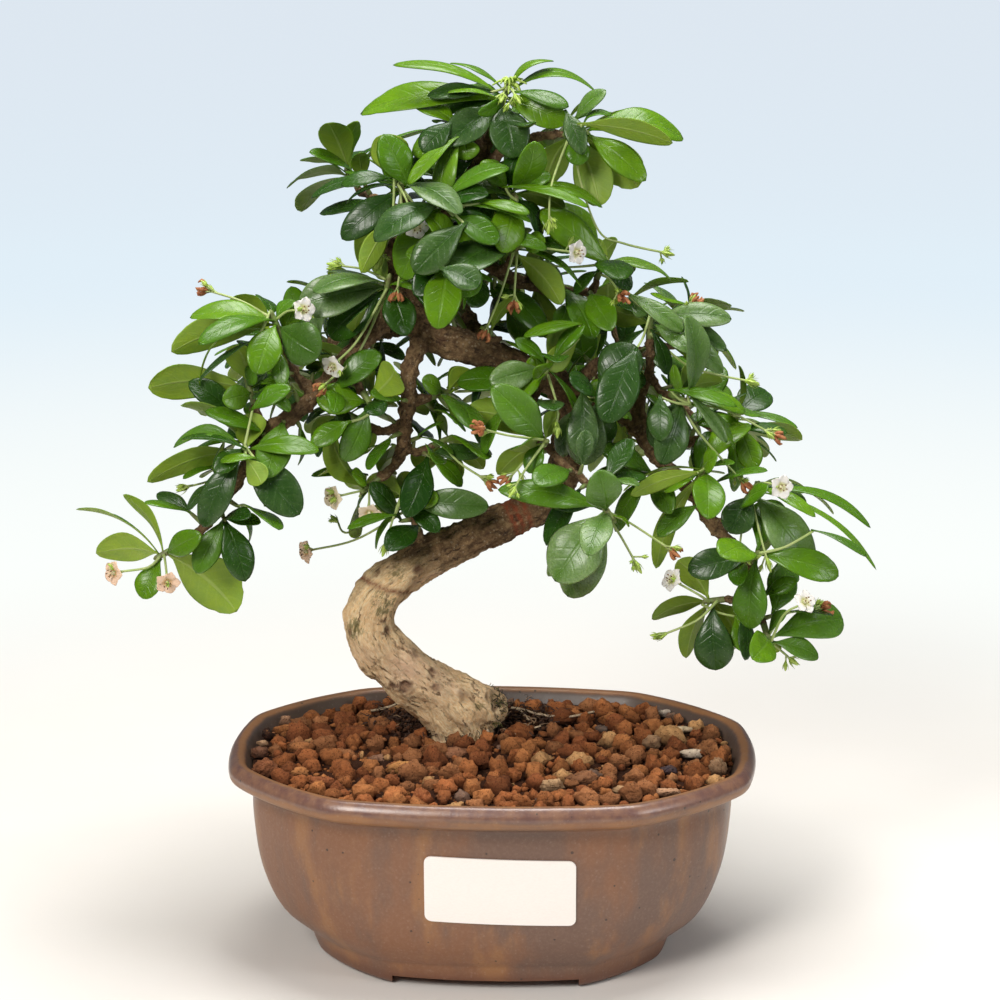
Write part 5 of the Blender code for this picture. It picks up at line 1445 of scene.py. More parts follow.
def wood_shapes():
    """Every limb, stub, spur and the buried stock, finer than in the part."""
    routes = all_routes(FINE_STEP, FINE_STEP)
    shapes = [
        tube_shape(route, 36 if name == "trunk" else 16, LUMPS, name != "trunk")
        for name, route in routes.items()
    ]
    slope = (STOCK_RADIUS_TOP - STOCK_RADIUS_LOW) / (STOCK_TOP - STOCK_BOTTOM)
    ends = [(z, STOCK_RADIUS_LOW + slope * (z - STOCK_BOTTOM)) for z in (STOCK_BOTTOM, STOCK_TOP)]
    shapes.append(loft([circle_ring(STOCK_MIDDLE, radius, 32, z) for z, radius in ends]))
    for k, (root, end) in enumerate(STUBS):
        places = [Vector(root).lerp(Vector(end), t) * MM for t in (0.0, 0.55, 1.0)]
        routes[f"stub_{k}"] = smooth_route(list(zip(places, STUB_RADII)), FINE_STEP)
        shapes.append(tube_shape(routes[f"stub_{k}"], 10, 0.0, True))
    shapes.append(tube_shape(smooth_route(in_metres(CROWN_END), FINE_STEP), 28, LUMPS, True))
    coarse = all_routes(TRUNK_STEP, LIMB_STEP)
    for node, shoot in shoots().items():
        spur = spur_route(coarse, shoot["foot"] * MM - shoot["ahead"] * GAP)
        if spur:
            routes["spur_" + node] = smooth_route(spur, FINE_STEP)
            shapes.append(tube_shape(routes["spur_" + node], 10, LUMPS, True))
    return routes, shapes


def stretched_noise(local, wide, long):
    """Noise drawn out along the grain, its size given in millimetres."""
    return noise.noise(Vector((local.x / wide, local.y / wide, local.z / long)) / MM)


def patch(place, patches):
    """How strongly the nearest of the patches shows at a place."""
    return max(strength * bump_at((place - middle).length, radius) for middle, radius, strength in patches)


def bump_at(x, width):
    return math.exp(-(x / width) ** 2)


class BuildWood(bpy.types.Operator):
    """Build the trunk, the branches and the spurs as one gnarled piece of wood"""

    bl_idname = "bonsai.build_wood"
    bl_label = "Wood"

    def execute(self, context):
        look = context.scene.bonsai_wood
        routes, shapes = wood_shapes()
        voxels = ("REMESH", {"mode": "VOXEL", "voxel_size": look.voxel, "use_smooth_shade": True})
        smooth = ("SMOOTH", {"factor": 0.5, "iterations": 3})
        material = make_material("old_bark", bark, look)
        mesh = through_modifiers("gnarled_wood", joined(shapes), material, voxels, smooth)
        grain = Grain(routes)
        tree = surface_tree(mesh)
        origin = INTO_TREE @ CAMERA_PLACE

        def on_wood(pixel):
            place = tree.ray_cast(origin, (INTO_TREE.to_3x3() @ pixel_ray(*pixel)[1]).normalized())[0]
            if place is None:
                raise ValueError(f"no wood at pixel {pixel}")
            return place

        knots = [(on_wood(pixel), radius * MM, lift * MM, dark) for pixel, radius, lift, dark in KNOTS]
        greens, pinks = (
            [(on_wood(pixel), radius * MM, strength) for pixel, radius, strength in patches]
            for patches in (GREEN_PATCHES, PINK_PATCHES)
        )
        marks = []
        for pixel, lean in WIRE_MARKS:
            place = on_wood(pixel)
            marks.append((place, (grain.at(place)[3] + UP * lean).normalized()))

        def carved(place):
            """How far a point of the wood moves out, and what its shader reads there."""
            name, radius, local, _ = grain.at(place)
            trunk = name == "trunk"
            age = 1.0
            if trunk:
                age = 0.08 + 0.84 * min(1.0, max(0.0, (place.z / MM - LOW_TRUNK) / (HIGH_TRUNK - LOW_TRUNK)))
            # Long fissures: the creases are narrow and the plates between them are wide.
            crack = max(0.0, 1.0 - 2.0 * abs(stretched_noise(local, 2.4, 11.0)) - 0.8) / 0.2
            ridge = stretched_noise(local, 1.9, 14.0) - 0.8 * crack
            fine = stretched_noise(local, 1.0, 4.5)
            knobbly = noise.noise(place / (2.6 * MM)) + 0.5 * noise.noise(place / (1.3 * MM))
            muscle = stretched_noise(local, 7.0, 30.0)
            depth = min(1.0, radius / (4.0 * MM))
            move = (1.0 - age) * (0.75 * muscle + 0.6 * ridge + 0.28 * fine + 0.25 * knobbly)
            move += age * depth * (0.8 * knobbly + 0.4 * ridge) + age * (1.0 - depth) * 0.3 * knobbly
            if not trunk:
                step = (local.z / LIMB_NODE + 0.7 * noise.noise(place / (9.0 * MM))) % 1.0
                move += (0.35 + 0.4 * depth) * bump_at(step - 0.5, 0.13)
            move *= MM
            scar = 0.0
            for middle, wide, lift, dark in knots:
                away = (place - middle).length / wide * (1.0 + 0.5 * knobbly)
                if away < 1.8:
                    move += lift * (bump_at(away - 0.95, 0.3) - 0.8 * bump_at(away, 0.6) + 0.5 * fine)
                    scar = max(scar, dark * (0.85 + 0.4 * fine) * math.exp(-(away / 0.95) ** 4))
            wire = 0.0
            for middle, way in marks:
                if trunk and (place - middle).length < 3.0 * radius:
                    band = bump_at((place - middle).dot(way) + 0.5 * MM * fine, WIRE_WIDTH)
                    wire = max(wire, band)
                    move -= WIRE_DEPTH * band
            # crack also goes to the shader, which paints shade in the creases.
            return move, (local, (patch(place, greens), patch(place, pinks), crack), age, scar, wire)

        places, values = [], []
        for vertex in mesh.vertices:
            move, read = carved(vertex.co)
            places.append(vertex.co + vertex.normal * move)
            values.append(read)
        mesh.vertices.foreach_set("co", np.array(places).ravel())
        names = ("grain", "tints_and_crease_shade", "age", "scar", "wire")
        for name, column in zip(names, zip(*values)):
            store(mesh, name, "FLOAT_VECTOR" if name in ("grain", "tints_and_crease_shade") else "FLOAT", column)
        mesh.transform(TREE)
        mesh.update()
        mesh.shade_smooth()
        finish_piece("gnarled_wood", mesh, "bark", "wood")
        return {"FINISHED"}


# Foliage


class FoliageLook(bpy.types.PropertyGroup):
    rows: IntProperty(name="Rows", description="Rows of facets along a leaf", default=16, min=6, max=40)
    columns: IntProperty(
        name="Columns", description="Facets across a leaf, an even number", default=8, min=4, max=20
    )
    thickness: FloatProperty(
        name="Thickness", description="A leaf's thickness", subtype="DISTANCE", default=0.45 * MM
    )
    dark_colour: FloatVectorProperty(
        name="Dark", description="Old leaves, upper side", subtype="COLOR", size=3,
        default=(0.014, 0.056, 0.004)
    )
    green_colour: FloatVectorProperty(
        name="Green", description="Grown leaves, upper side", subtype="COLOR", size=3,
        default=(0.072, 0.182, 0.005)
    )
    bright_colour: FloatVectorProperty(
        name="Bright", description="Young leaves, upper side", subtype="COLOR", size=3,
        default=(0.128, 0.268, 0.006)
    )
    under_colour: FloatVectorProperty(
        name="Underside", description="Old leaves, underside", subtype="COLOR", size=3,
        default=(0.19, 0.29, 0.02)
    )
    under_bright: FloatVectorProperty(
        name="Young underside", description="Young leaves, underside", subtype="COLOR", size=3,
        default=(0.30, 0.43, 0.03)
    )


def leaf_outline(t, base, widest, tooth):
    """Half-width of a blade along it, 1 at its widest: a wedge below, a round, notched end above."""
    low = np.sin(np.pi / 2 * np.clip(t / widest, 0, 1)) ** base
    high = np.clip(1.0 - np.clip((t - widest) / (1.0 - widest), 0, 1) ** 1.9, 0, 1) ** 0.58
    half = np.where(t < widest, low, high)
    for at in (0.86, 0.95):
        half = half * (1.0 - tooth * np.exp(-((t - at) / 0.018) ** 2))
    return half


def blade_points(leaf, rows, columns, thickness):
    """A leaf's closed loops from root to tip, its tip, and where each point lies on the blade."""
    step = np.arange(rows) / rows
    t = 0.45 * step + 0.55 * np.sin(np.pi / 2 * step)
    row = t[:, None]
    root, bend, tip, normal = (np.array(leaf[key]) for key in ("root", "bend", "tip", "normal"))
    middle = root * (1 - row) ** 2 + bend * (2 * row * (1 - row)) + tip * (row * row)
    way = (bend - root) * (2 * (1 - row)) + (tip - bend) * (2 * row)
    way /= np.linalg.norm(way, axis=1)[:, None]
    side = np.cross(way, normal)
    side /= np.linalg.norm(side, axis=1)[:, None]
    up = np.cross(side, way)
    cos, sin = np.cos(leaf["twist"] * row), np.sin(leaf["twist"] * row)
    side, up = side * cos + up * sin, up * cos - side * sin
    half = leaf_outline(t, leaf["base"], leaf["widest"], leaf["tooth"]) * leaf["width"] / 2
    half = np.maximum(half, 0.55 - 0.15 * np.clip(t / 0.1, 0, 1))[:, None]
    u = np.sin(np.pi / 2 * np.linspace(-1, 1, columns + 1))
    loop = np.concatenate([u, u[::-1][1:-1]])
    above = np.concatenate([np.ones(columns + 1), -np.ones(columns - 1)])
    above[0] = above[columns] = 0.0
    wide = half * loop
    edge = np.abs(loop)
    lift = half * (leaf["fold"] * edge ** 1.3 - leaf["curl"] * edge ** 4)
    lift += leaf["wave"] * half * edge ** 2 * np.sin(leaf["phase"] + 9.0 * row + 1.6 * (loop > 0))
    body = thickness / 2 * np.sqrt(np.clip(1.0 - edge ** 4, 0.0, 1.0)) * above
    body = body - np.where(np.abs(loop) < 0.01, 0.10, 0.0) * np.clip(half / 4.0, 0, 1)
    points = middle[:, None] + side[:, None] * wide[..., None] + up[:, None] * (lift + body)[..., None]
    where = [np.broadcast_to(loop, wide.shape), np.broadcast_to(row, wide.shape), np.zeros_like(wide)]
    return points, tip, np.stack(where, axis=-1)


def blade_faces(rows, columns):
    """Faces over a blade's loops, and whether each is of the upper side."""
    count = 2 * columns
    faces = [tuple(reversed(range(count)))]
    upper = [False]
    last = (rows - 1) * count
    for base in range(0, last, count):
        for i in range(count):
            j = (i + 1) % count
            faces.append((base + i, base + j, base + count + j, base + count + i))
            upper.append(i < columns)
    for i in range(count):
        faces.append((last + i, last + (i + 1) % count, last + count))
        upper.append(i < columns)
    return faces, upper


class Pieces:
    """Collects the blades, stems and stalks of one piece with the values that their shaders read."""

    def __init__(self):
        self.verts, self.faces, self.slots, self.where, self.tones, self.dust = [], [], [], [], [], []

    def add(self, verts, faces, slots, where=None, tone=0.0, dust=0.0):
        """Adds a shape. slots is one slot, or one for each face."""
        first = len(self.verts)
        self.verts += [tuple(v) for v in verts]
        self.faces += [tuple(first + i for i in face) for face in faces]
        self.slots += [slots] * len(faces) if isinstance(slots, int) else slots
        self.where += where or [(0.0, 0.0, 0.0)] * len(verts)
        self.tones += [tone] * len(verts)
        self.dust += [dust] * len(verts)

    def add_tube(self, route, sides, slot, spacing=None):
        """Adds a tube along a route of (place, radius), smoothed where a spacing is given."""
        self.add(*tube_shape(smooth_route(route, spacing) if spacing else route, sides), slot)

    def add_blade(self, leaf, look):
        points, tip, where = blade_points(leaf, look.rows, look.columns, look.thickness / MM)
        faces, upper = blade_faces(look.rows, look.columns)
        where = [tuple(p) for p in where.reshape(-1, 3)] + [(0.0, 1.0, 0.0)]
        slots = [0 if above else 1 for above in upper]
        self.add([*points.reshape(-1, 3), tip], faces, slots, where, leaf["tone"], leaf["dust"])

    def mesh(self, name, materials):
        mesh = mesh_of(name, [Vector(v) * MM for v in self.verts], self.faces, materials, TREE)
        mesh.polygons.foreach_set("material_index", self.slots)
        store(mesh, "blade", "FLOAT_VECTOR", self.where)
        store(mesh, "tone", "FLOAT", self.tones)
        store(mesh, "dust", "FLOAT", self.dust)
        return mesh


def grown(leaf, draw):
    """A leaf with its own small differences of shape and tone."""
    place = pixel_of(leaf["root"].lerp(leaf["tip"], 0.6))
    away, tone, dust = min((math.dist(place, pixel), tone, dust) for pixel, tone, dust in NAMED_LEAVES)
    kind = draw.random()
    if away > NAMED_WITHIN:
        dust = 0.5 * max(0.0, draw.random() - 0.6)
        tone = draw.uniform(*next(tones for below, tones in LEAF_TONES if kind < below))
    made = dict(leaf)
    for key, span in LEAF_SHAPE.items():
        made[key] = draw.choice(span) if key == "tooth" else draw.uniform(*span)
    made.update(tone=tone, dust=dust)
    return made


# How a leaf's shape and tone may differ, in the order in which they are drawn.
LEAF_SHAPE = {
    "base": (1.15, 1.5), "widest": (0.52, 0.68), "tooth": (0.0, 0.0, 0.06, 0.12), "twist": (-0.28, 0.28),
    "fold": (0.08, 0.26), "curl": (0.04, 0.26), "wave": (0.0, 0.08), "phase": (0.0, math.tau),
}
LEAF_TONES = ((0.34, (0.0, 0.2)), (0.64, (0.3, 0.6)), (1.0, (0.7, 1.0)))
# Leaves whose look the photograph shows: pixel of the middle, brightness, dust.
# Their brightness is partly each leaf's own colour and partly painted light and shade, and their dust is partly dust
# and partly a painted sheen.
NAMED_LEAVES = (
    ((430, 100), 1.0, 0.0), ((425, 68), 0.85, 0.0), ((480, 72), 0.7, 0.0), ((530, 68), 0.9, 0.0),
    ((560, 80), 0.75, 0.0), ((465, 128), 0.0, 0.25), ((510, 130), 0.05, 0.15), ((640, 125), 0.8, 0.0),
    ((615, 155), 0.6, 0.0), ((598, 175), 0.2, 0.0), ((350, 145), 0.35, 0.0), ((390, 155), 0.5, 0.0),
    ((355, 210), 0.0, 0.1), ((400, 215), 0.0, 0.2), ((560, 195), 0.75, 0.0), ((560, 235), 0.9, 0.0),
    ((565, 190), 0.8, 0.0), ((440, 195), 0.15, 0.6), ((345, 290), 0.2, 0.7), ((330, 305), 0.2, 0.8),
    ((215, 310), 0.9, 0.0), ((200, 345), 0.8, 0.0), ((190, 380), 0.85, 0.0), ((210, 430), 0.05, 0.2),
    ((190, 465), 0.85, 0.0), ((278, 485), 0.0, 0.15), ((300, 345), 0.25, 0.2), ((345, 390), 0.85, 0.0),
    ((300, 440), 0.7, 0.0), ((215, 500), 0.0, 0.2), ((120, 545), 0.95, 0.0), ((205, 575), 0.75, 0.0),
    ((150, 572), 0.8, 0.0), ((150, 495), 0.8, 0.0), ((548, 488), 0.6, 0.1), ((610, 488), 0.45, 0.4),
    ((572, 545), 0.35, 1.0), ((590, 575), 0.2, 0.9), ((595, 530), 0.3, 0.9), ((515, 380), 0.3, 0.9),
    ((620, 360), 0.0, 0.15), ((668, 430), 0.1, 0.3), ((580, 430), 0.05, 0.5), ((690, 345), 0.3, 0.6),
    ((700, 320), 0.2, 0.8), ((650, 300), 0.3, 0.5), ((790, 525), 0.35, 0.8), ((805, 560), 0.7, 0.0),
    ((745, 595), 0.4, 0.1), ((712, 640), 0.0, 0.15), ((690, 605), 0.75, 0.0), ((720, 570), 0.0, 0.15),
    ((675, 530), 0.7, 0.2), ((830, 505), 0.6, 0.0), ((750, 420), 0.7, 0.0), ((670, 480), 0.85, 0.0),
    ((800, 635), 0.5, 0.2), ((460, 498), 0.2, 0.4), ((535, 367), 1.0, 0.0),
)
NAMED_WITHIN = 17.0
# More leaves that the photograph shows: pixels of root and tip, width in millimetres, how far the upper side
# turns to the camera (-1 shows the underside), brightness, dust.
# Their brightness is partly each leaf's own colour and partly painted light and shade, and their dust is partly dust
# and partly a painted sheen.
SEEN_LEAVES = (
    ((492, 92), (427, 96), 9, 0.6, 0.0, 0.15), ((497, 98), (447, 93), 5, 0.3, 0.9, 0.0),
    ((514, 92), (569, 107), 8, 0.5, 0.3, 0.1), ((565, 110), (583, 155), 8, 0.8, 0.05, 0.3),
    ((575, 120), (606, 90), 8, 0.5, 0.35, 0.4), ((577, 124), (673, 143), 10, -0.8, 0.3, 0.0),
    ((587, 134), (646, 181), 11, 0.9, 0.9, 0.0), ((463, 134), (408, 185), 6, 0.5, 0.9, 0.0),
    ((455, 120), (422, 152), 10, 0.8, 0.0, 0.1), ((408, 187), (383, 134), 13, 0.9, 0.5, 0.0),
    ((520, 148), (557, 172), 9, 0.7, 0.3, 0.0), ((393, 218), (361, 273), 9, -0.9, 0.3, 0.0),
    ((467, 222), (414, 273), 13, 1.0, 0.1, 0.3), ((452, 216), (499, 243), 10, 0.8, 0.3, 0.0),
    ((502, 187), (589, 208), 6, 0.4, 0.75, 0.0), ((479, 203), (530, 214), 6, 0.4, 0.75, 0.0),
    ((614, 270), (540, 211), 13, 0.9, 0.85, 0.0), ((499, 234), (547, 250), 7, 0.5, 0.6, 0.0),
    ((440, 268), (480, 286), 11, 0.8, 0.05, 0.3), ((284, 333), (296, 302), 9, 0.9, 0.85, 0.0),
    ((270, 368), (233, 403), 8, 0.8, 0.1, 0.5), ((254, 340), (198, 382), 4, 0.3, 0.1, 0.1),
    ((251, 410), (291, 387), 8, 0.7, 0.55, 0.0), ((246, 449), (181, 440), 8, 0.2, 0.1, 0.0),
    ((246, 458), (262, 484), 9, -0.9, 0.5, 0.0), ((256, 458), (220, 462), 5, 0.5, 0.85, 0.0),
    ((351, 421), (311, 446), 9, 0.8, 0.7, 0.0), ((368, 475), (311, 476), 7, 0.4, 0.85, 0.0),
    ((396, 515), (347, 529), 6, 0.5, 0.6, 0.0), ((626, 293), (684, 332), 8, 0.8, 0.3, 0.6),
    ((652, 314), (727, 351), 9, 0.6, 0.1, 0.4), ((684, 327), (718, 356), 8, -0.7, 0.7, 0.0),
    ((583, 324), (523, 337), 7, 0.5, 0.75, 0.0), ((579, 338), (549, 371), 9, -0.9, 0.4, 0.0),
    ((541, 381), (534, 355), 10, 1.0, 1.0, 0.0), ((637, 347), (605, 424), 15, 0.9, 0.0, 0.1),
    ((660, 395), (660, 442), 10, 0.9, 0.1, 0.2), ((583, 385), (583, 460), 12, 0.9, 0.05, 0.4),
    ((585, 398), (628, 419), 5, 0.5, 0.7, 0.0), ((585, 396), (606, 382), 6, 0.7, 0.8, 0.0),
    ((500, 380), (530, 435), 10, 0.8, 0.3, 0.1), ((668, 390), (737, 407), 8, 0.5, 0.6, 0.0),
    ((686, 392), (727, 443), 5, 0.5, 0.2, 0.6), ((733, 413), (798, 428), 5, 0.4, 0.6, 0.0),
    ((738, 424), (755, 470), 10, 0.9, 0.9, 0.0), ((700, 472), (630, 495), 8, -0.8, 0.9, 0.0),
    ((755, 482), (807, 504), 6, 0.5, 0.2, 0.5), ((811, 530), (867, 557), 4, 0.3, 0.3, 0.1),
    ((735, 615), (747, 652), 9, 0.9, 0.8, 0.0),
)
SEEN_SHIFTS = (0.0, -4.0, 4.0, -8.0, 8.0, -12.0, 12.0, -16.0, -20.0, -24.0)
SEEN_ROOM = 0.2
SEEN_REACH = 0.2
YOUNG_TUFT = (503, 92)
STEM, STALK, WITHERED, YOUNG = 2, 3, 4, 5


def leaf_materials(look):
    """A leafy piece's materials, in the order of its slots."""
    return (
        make_material("leaf_upper", leaf_side, look, False),
        make_material("leaf_under", leaf_side, look, True),
        make_material("green_stem", plain_plant, (0.20, 0.30, 0.07), (0.15, 0.13, 0.05), 0.5),
        make_material("pale_stalk", plain_plant, (0.33, 0.45, 0.12), (0.45, 0.52, 0.20), 0.45),
        make_material("withered", plain_plant, (0.28, 0.075, 0.025), (0.52, 0.22, 0.08), 0.7, 700.0),
        make_material("young_shoot", plain_plant, (0.36, 0.55, 0.06), (0.50, 0.62, 0.14), 0.4, 700.0),
    )


def axes_round(ahead):
    side = ahead.cross(Vector((0.3, 0.2, 0.9))).normalized()
    return side, ahead.cross(side)


def sepals(pieces, place, ahead, length, radius, spread, slot):
    """A cup of five pointed sepals round a stalk's end."""
    axes = axes_round(ahead)
    for k in range(5):
        out = turned(*axes, math.tau * k / 5)
        start = place + out * radius * 0.3
        middle = place + ahead * length * 0.5 + out * (radius + spread * 0.5)
        end = place + ahead * length + out * (radius + spread)
        half = ahead.cross(out) * (radius * 0.55)
        verts = [
            start - half, start + half, middle + half * 0.8 + out * 0.12, middle - half * 0.8 + out * 0.12,
            end, start - out * 0.15, middle - out * 0.15,
        ]
        faces = [(0, 1, 2, 3), (3, 2, 4), (1, 0, 5), (0, 3, 6, 5), (1, 5, 6, 2), (3, 4, 6), (2, 6, 4)]
        pieces.add(verts, faces, slot)


def crumpled_bloom(pieces, place, ahead, draw):
    """A withered corolla: curled strips that hang together."""
    axes = axes_round(ahead)
    for k in range(6):
        out = turned(*axes, math.tau * (k + draw.uniform(-0.3, 0.3)) / 6)
        reach, long = draw.uniform(1.6, 3.0), draw.uniform(3.0, 4.8)
        route = [
            (place, 0.45),
            (place + ahead * long * 0.45 + out * reach * 0.7, 0.8),
            (place + ahead * long * 0.8 + out * reach, 0.65),
            (place + ahead * long + out * reach * draw.uniform(0.5, 0.9), 0.2),
        ]
        pieces.add_tube(route, 5, WITHERED, 0.9)


def bud(pieces, base, ahead, size, draw):
    """A closed bud in its spiky calyx."""
    spread = (0.5 + 0.9 * draw.random()) * size
    sepals(pieces, base - ahead * size, ahead, 4.8 * size, 0.9 * size, spread, YOUNG)
    knob = ((-1.0, 0.5), (0.6, 1.05), (2.6, 0.9), (4.4, 0.25))
    pieces.add_tube([(base + ahead * at * size, thick * size) for at, thick in knob], 6, YOUNG, 0.6)


def add_stalk(pieces, stalk, draw):
    """A slim stalk with its calyx and what it ends in."""
    route, kind = stalk["route"], stalk["kind"]
    ends = 2 if kind == "flower" else 3
    line = [(place, 0.42) for place, _ in route[:len(route) - ends]]
    line[0] = (line[0][0], 0.6)
    base, tip = route[-ends][0], route[-1][0]
    ahead = (tip - base).normalized()
    pieces.add_tube(line + [(base, 0.45)], 6, STALK, 1.6)
    if kind == "flower":
        sepals(pieces, base - ahead * 0.3, ahead, 2.6, 0.75, 0.35, STALK)
        pieces.add_tube([(base, 0.5), (base.lerp(tip, 0.5), 0.75), (tip, 0.7)], 6, STALK)
    elif kind == "bud":
        bud(pieces, base, ahead, 1.0, draw)
    else:
        sepals(pieces, base, ahead, 3.0, 0.8, 0.6, STALK)
        crumpled_bloom(pieces, base + ahead * 1.2, ahead, draw)
    for _ in range(draw.choice((1, 2, 3))):
        way = (ahead + scattered(draw, -0.9, 0.9)).normalized()
        foot = base - ahead * draw.uniform(0.5, 3.0)
        top = foot + way * draw.uniform(2.0, 4.5)
        pieces.add_tube([(foot, 0.35), (foot.lerp(top, 0.5), 0.33), (top, 0.35)], 5, STALK)
        bud(pieces, top, way, draw.uniform(0.45, 0.75), draw)


class BuildFoliage(bpy.types.Operator):
    """Dress every shoot with fine leaves, a stem, stalks and buds"""

    bl_idname = "bonsai.build_foliage"
    bl_label = "Foliage"

    def execute(self, context):
        look = context.scene.bonsai_foliage
        draw = random.Random(5)
        materials = leaf_materials(look)
        for node, shoot in shoots().items():
            pieces = Pieces()
            for leaf in shoot["leaves"]:
                pieces.add_blade(grown(leaf, draw), look)
            foot, tip, ahead = shoot["foot"], shoot["tip"], shoot["ahead"]
            low, middle, high = foot - ahead * 0.3, foot.lerp(tip, 0.5), tip - ahead * 0.8
            pieces.add_tube([(low, 1.25), (middle, 1.2), (high, 0.9), (tip, 0.3)], 8, STEM, 1.2)
            for stalk in shoot["stalks"]:
                add_stalk(pieces, stalk, draw)
            name = "leafy" + node[len("shoot"):]
            finish_piece(name, pieces.mesh(name, materials), "foliage", node)
        return {"FINISHED"}


class InnerLook(bpy.types.PropertyGroup):
    spacing: FloatProperty(
        name="Spacing", description="From one tuft to the next along a limb", subtype="DISTANCE",
        default=5.0 * MM, min=2.0 * MM
    )
    shortest: FloatProperty(
        name="Shortest", description="Shortest inner leaf", subtype="DISTANCE", default=13.0 * MM
    )
    longest: FloatProperty(
        name="Longest", description="Longest inner leaf", subtype="DISTANCE", default=27.0 * MM
    )
    rows: IntProperty(name="Rows", description="Rows of facets along a leaf", default=12, min=6, max=40)
    columns: IntProperty(name="Columns", description="Facets across, even", default=6, min=4, max=20)
    thickness: FloatProperty(
        name="Thickness", description="A leaf's thickness", subtype="DISTANCE", default=0.45 * MM
    )
    clearance: FloatProperty(
        name="Clearance", description="Room round every inner leaf", subtype="DISTANCE", default=0.5 * MM
    )


PLAIN_BLADE = {
    "base": 1.3, "widest": 0.66, "tooth": 0.0, "twist": 0.0,
    "fold": 0.16, "curl": 0.08, "wave": 0.0, "phase": 0.0,
}
LEAVES_FROM = 196.0
LIMB_LEAVES_FROM = 170.0
BOX_MARGIN = 6.0
# Share of its tone that an inner leaf keeps: painted shade for leaves inside the crown.
SHADED = 0.7


def blade_solid(leaf, margin):
    """The room that a leaf takes, less its stalk, as a box and a tree of its faces."""
    shape = {**PLAIN_BLADE, **leaf, "width": leaf["width"] + 2 * margin}
    points, tip, _ = blade_points(shape, 6, 2, 1.0 + 2 * margin)
    rows = points[1:]
    flat = rows.reshape(-1, 3)
    tree = BVHTree.FromPolygons([*map(Vector, flat), Vector(tip)], blade_faces(len(rows), 2)[0])
    return np.minimum(flat.min(axis=0), tip), np.maximum(flat.max(axis=0), tip), tree


def meets(probe, others):
    low, high, tree = probe
    for other_low, other_high, other in others:
        if (low > other_high).any() or (other_low > high).any():
            continue
        if tree.overlap(other):
            return True
    return False


def seen_leaf(taken, root_pixel, tip_pixel, width, face):
    """A leaf between two pixels, moved in depth until it is clear of the others, and the tip that bears it."""
    gaze = CAMERA_FRAME.to_3x3() @ -UP

    def depth_of(place):
        return (to_world(place) - CAMERA_PLACE).dot(gaze)

    def at_depth(pixel, depth):
        start, way = pixel_ray(*pixel)
        return to_tree(start + way * (depth / way.dot(gaze)))

    bearer = nearest_tip(root_pixel, lambda tip: 0.3 * depth_of(tip) / MM)
    toward = (to_tree(CAMERA_PLACE) - bearer).normalized()
    for shift in SEEN_SHIFTS:
        depth = depth_of(bearer) + shift * MM
        root = at_depth(root_pixel, depth)
        tip = at_depth(tip_pixel, depth - SEEN_REACH * (at_depth(tip_pixel, depth) - root).length * MM)
        normal = squared(toward * face + UP * (1.0 - 0.6 * abs(face)), (tip - root).normalized())
        bend = root.lerp(tip, 0.5) + normal * 0.18 * (tip - root).length
        leaf = {"root": root, "bend": bend, "tip": tip, "normal": normal, "width": width}
        if not meets(blade_solid(leaf, SEEN_ROOM), taken):
            return leaf, bearer
    return None, bearer


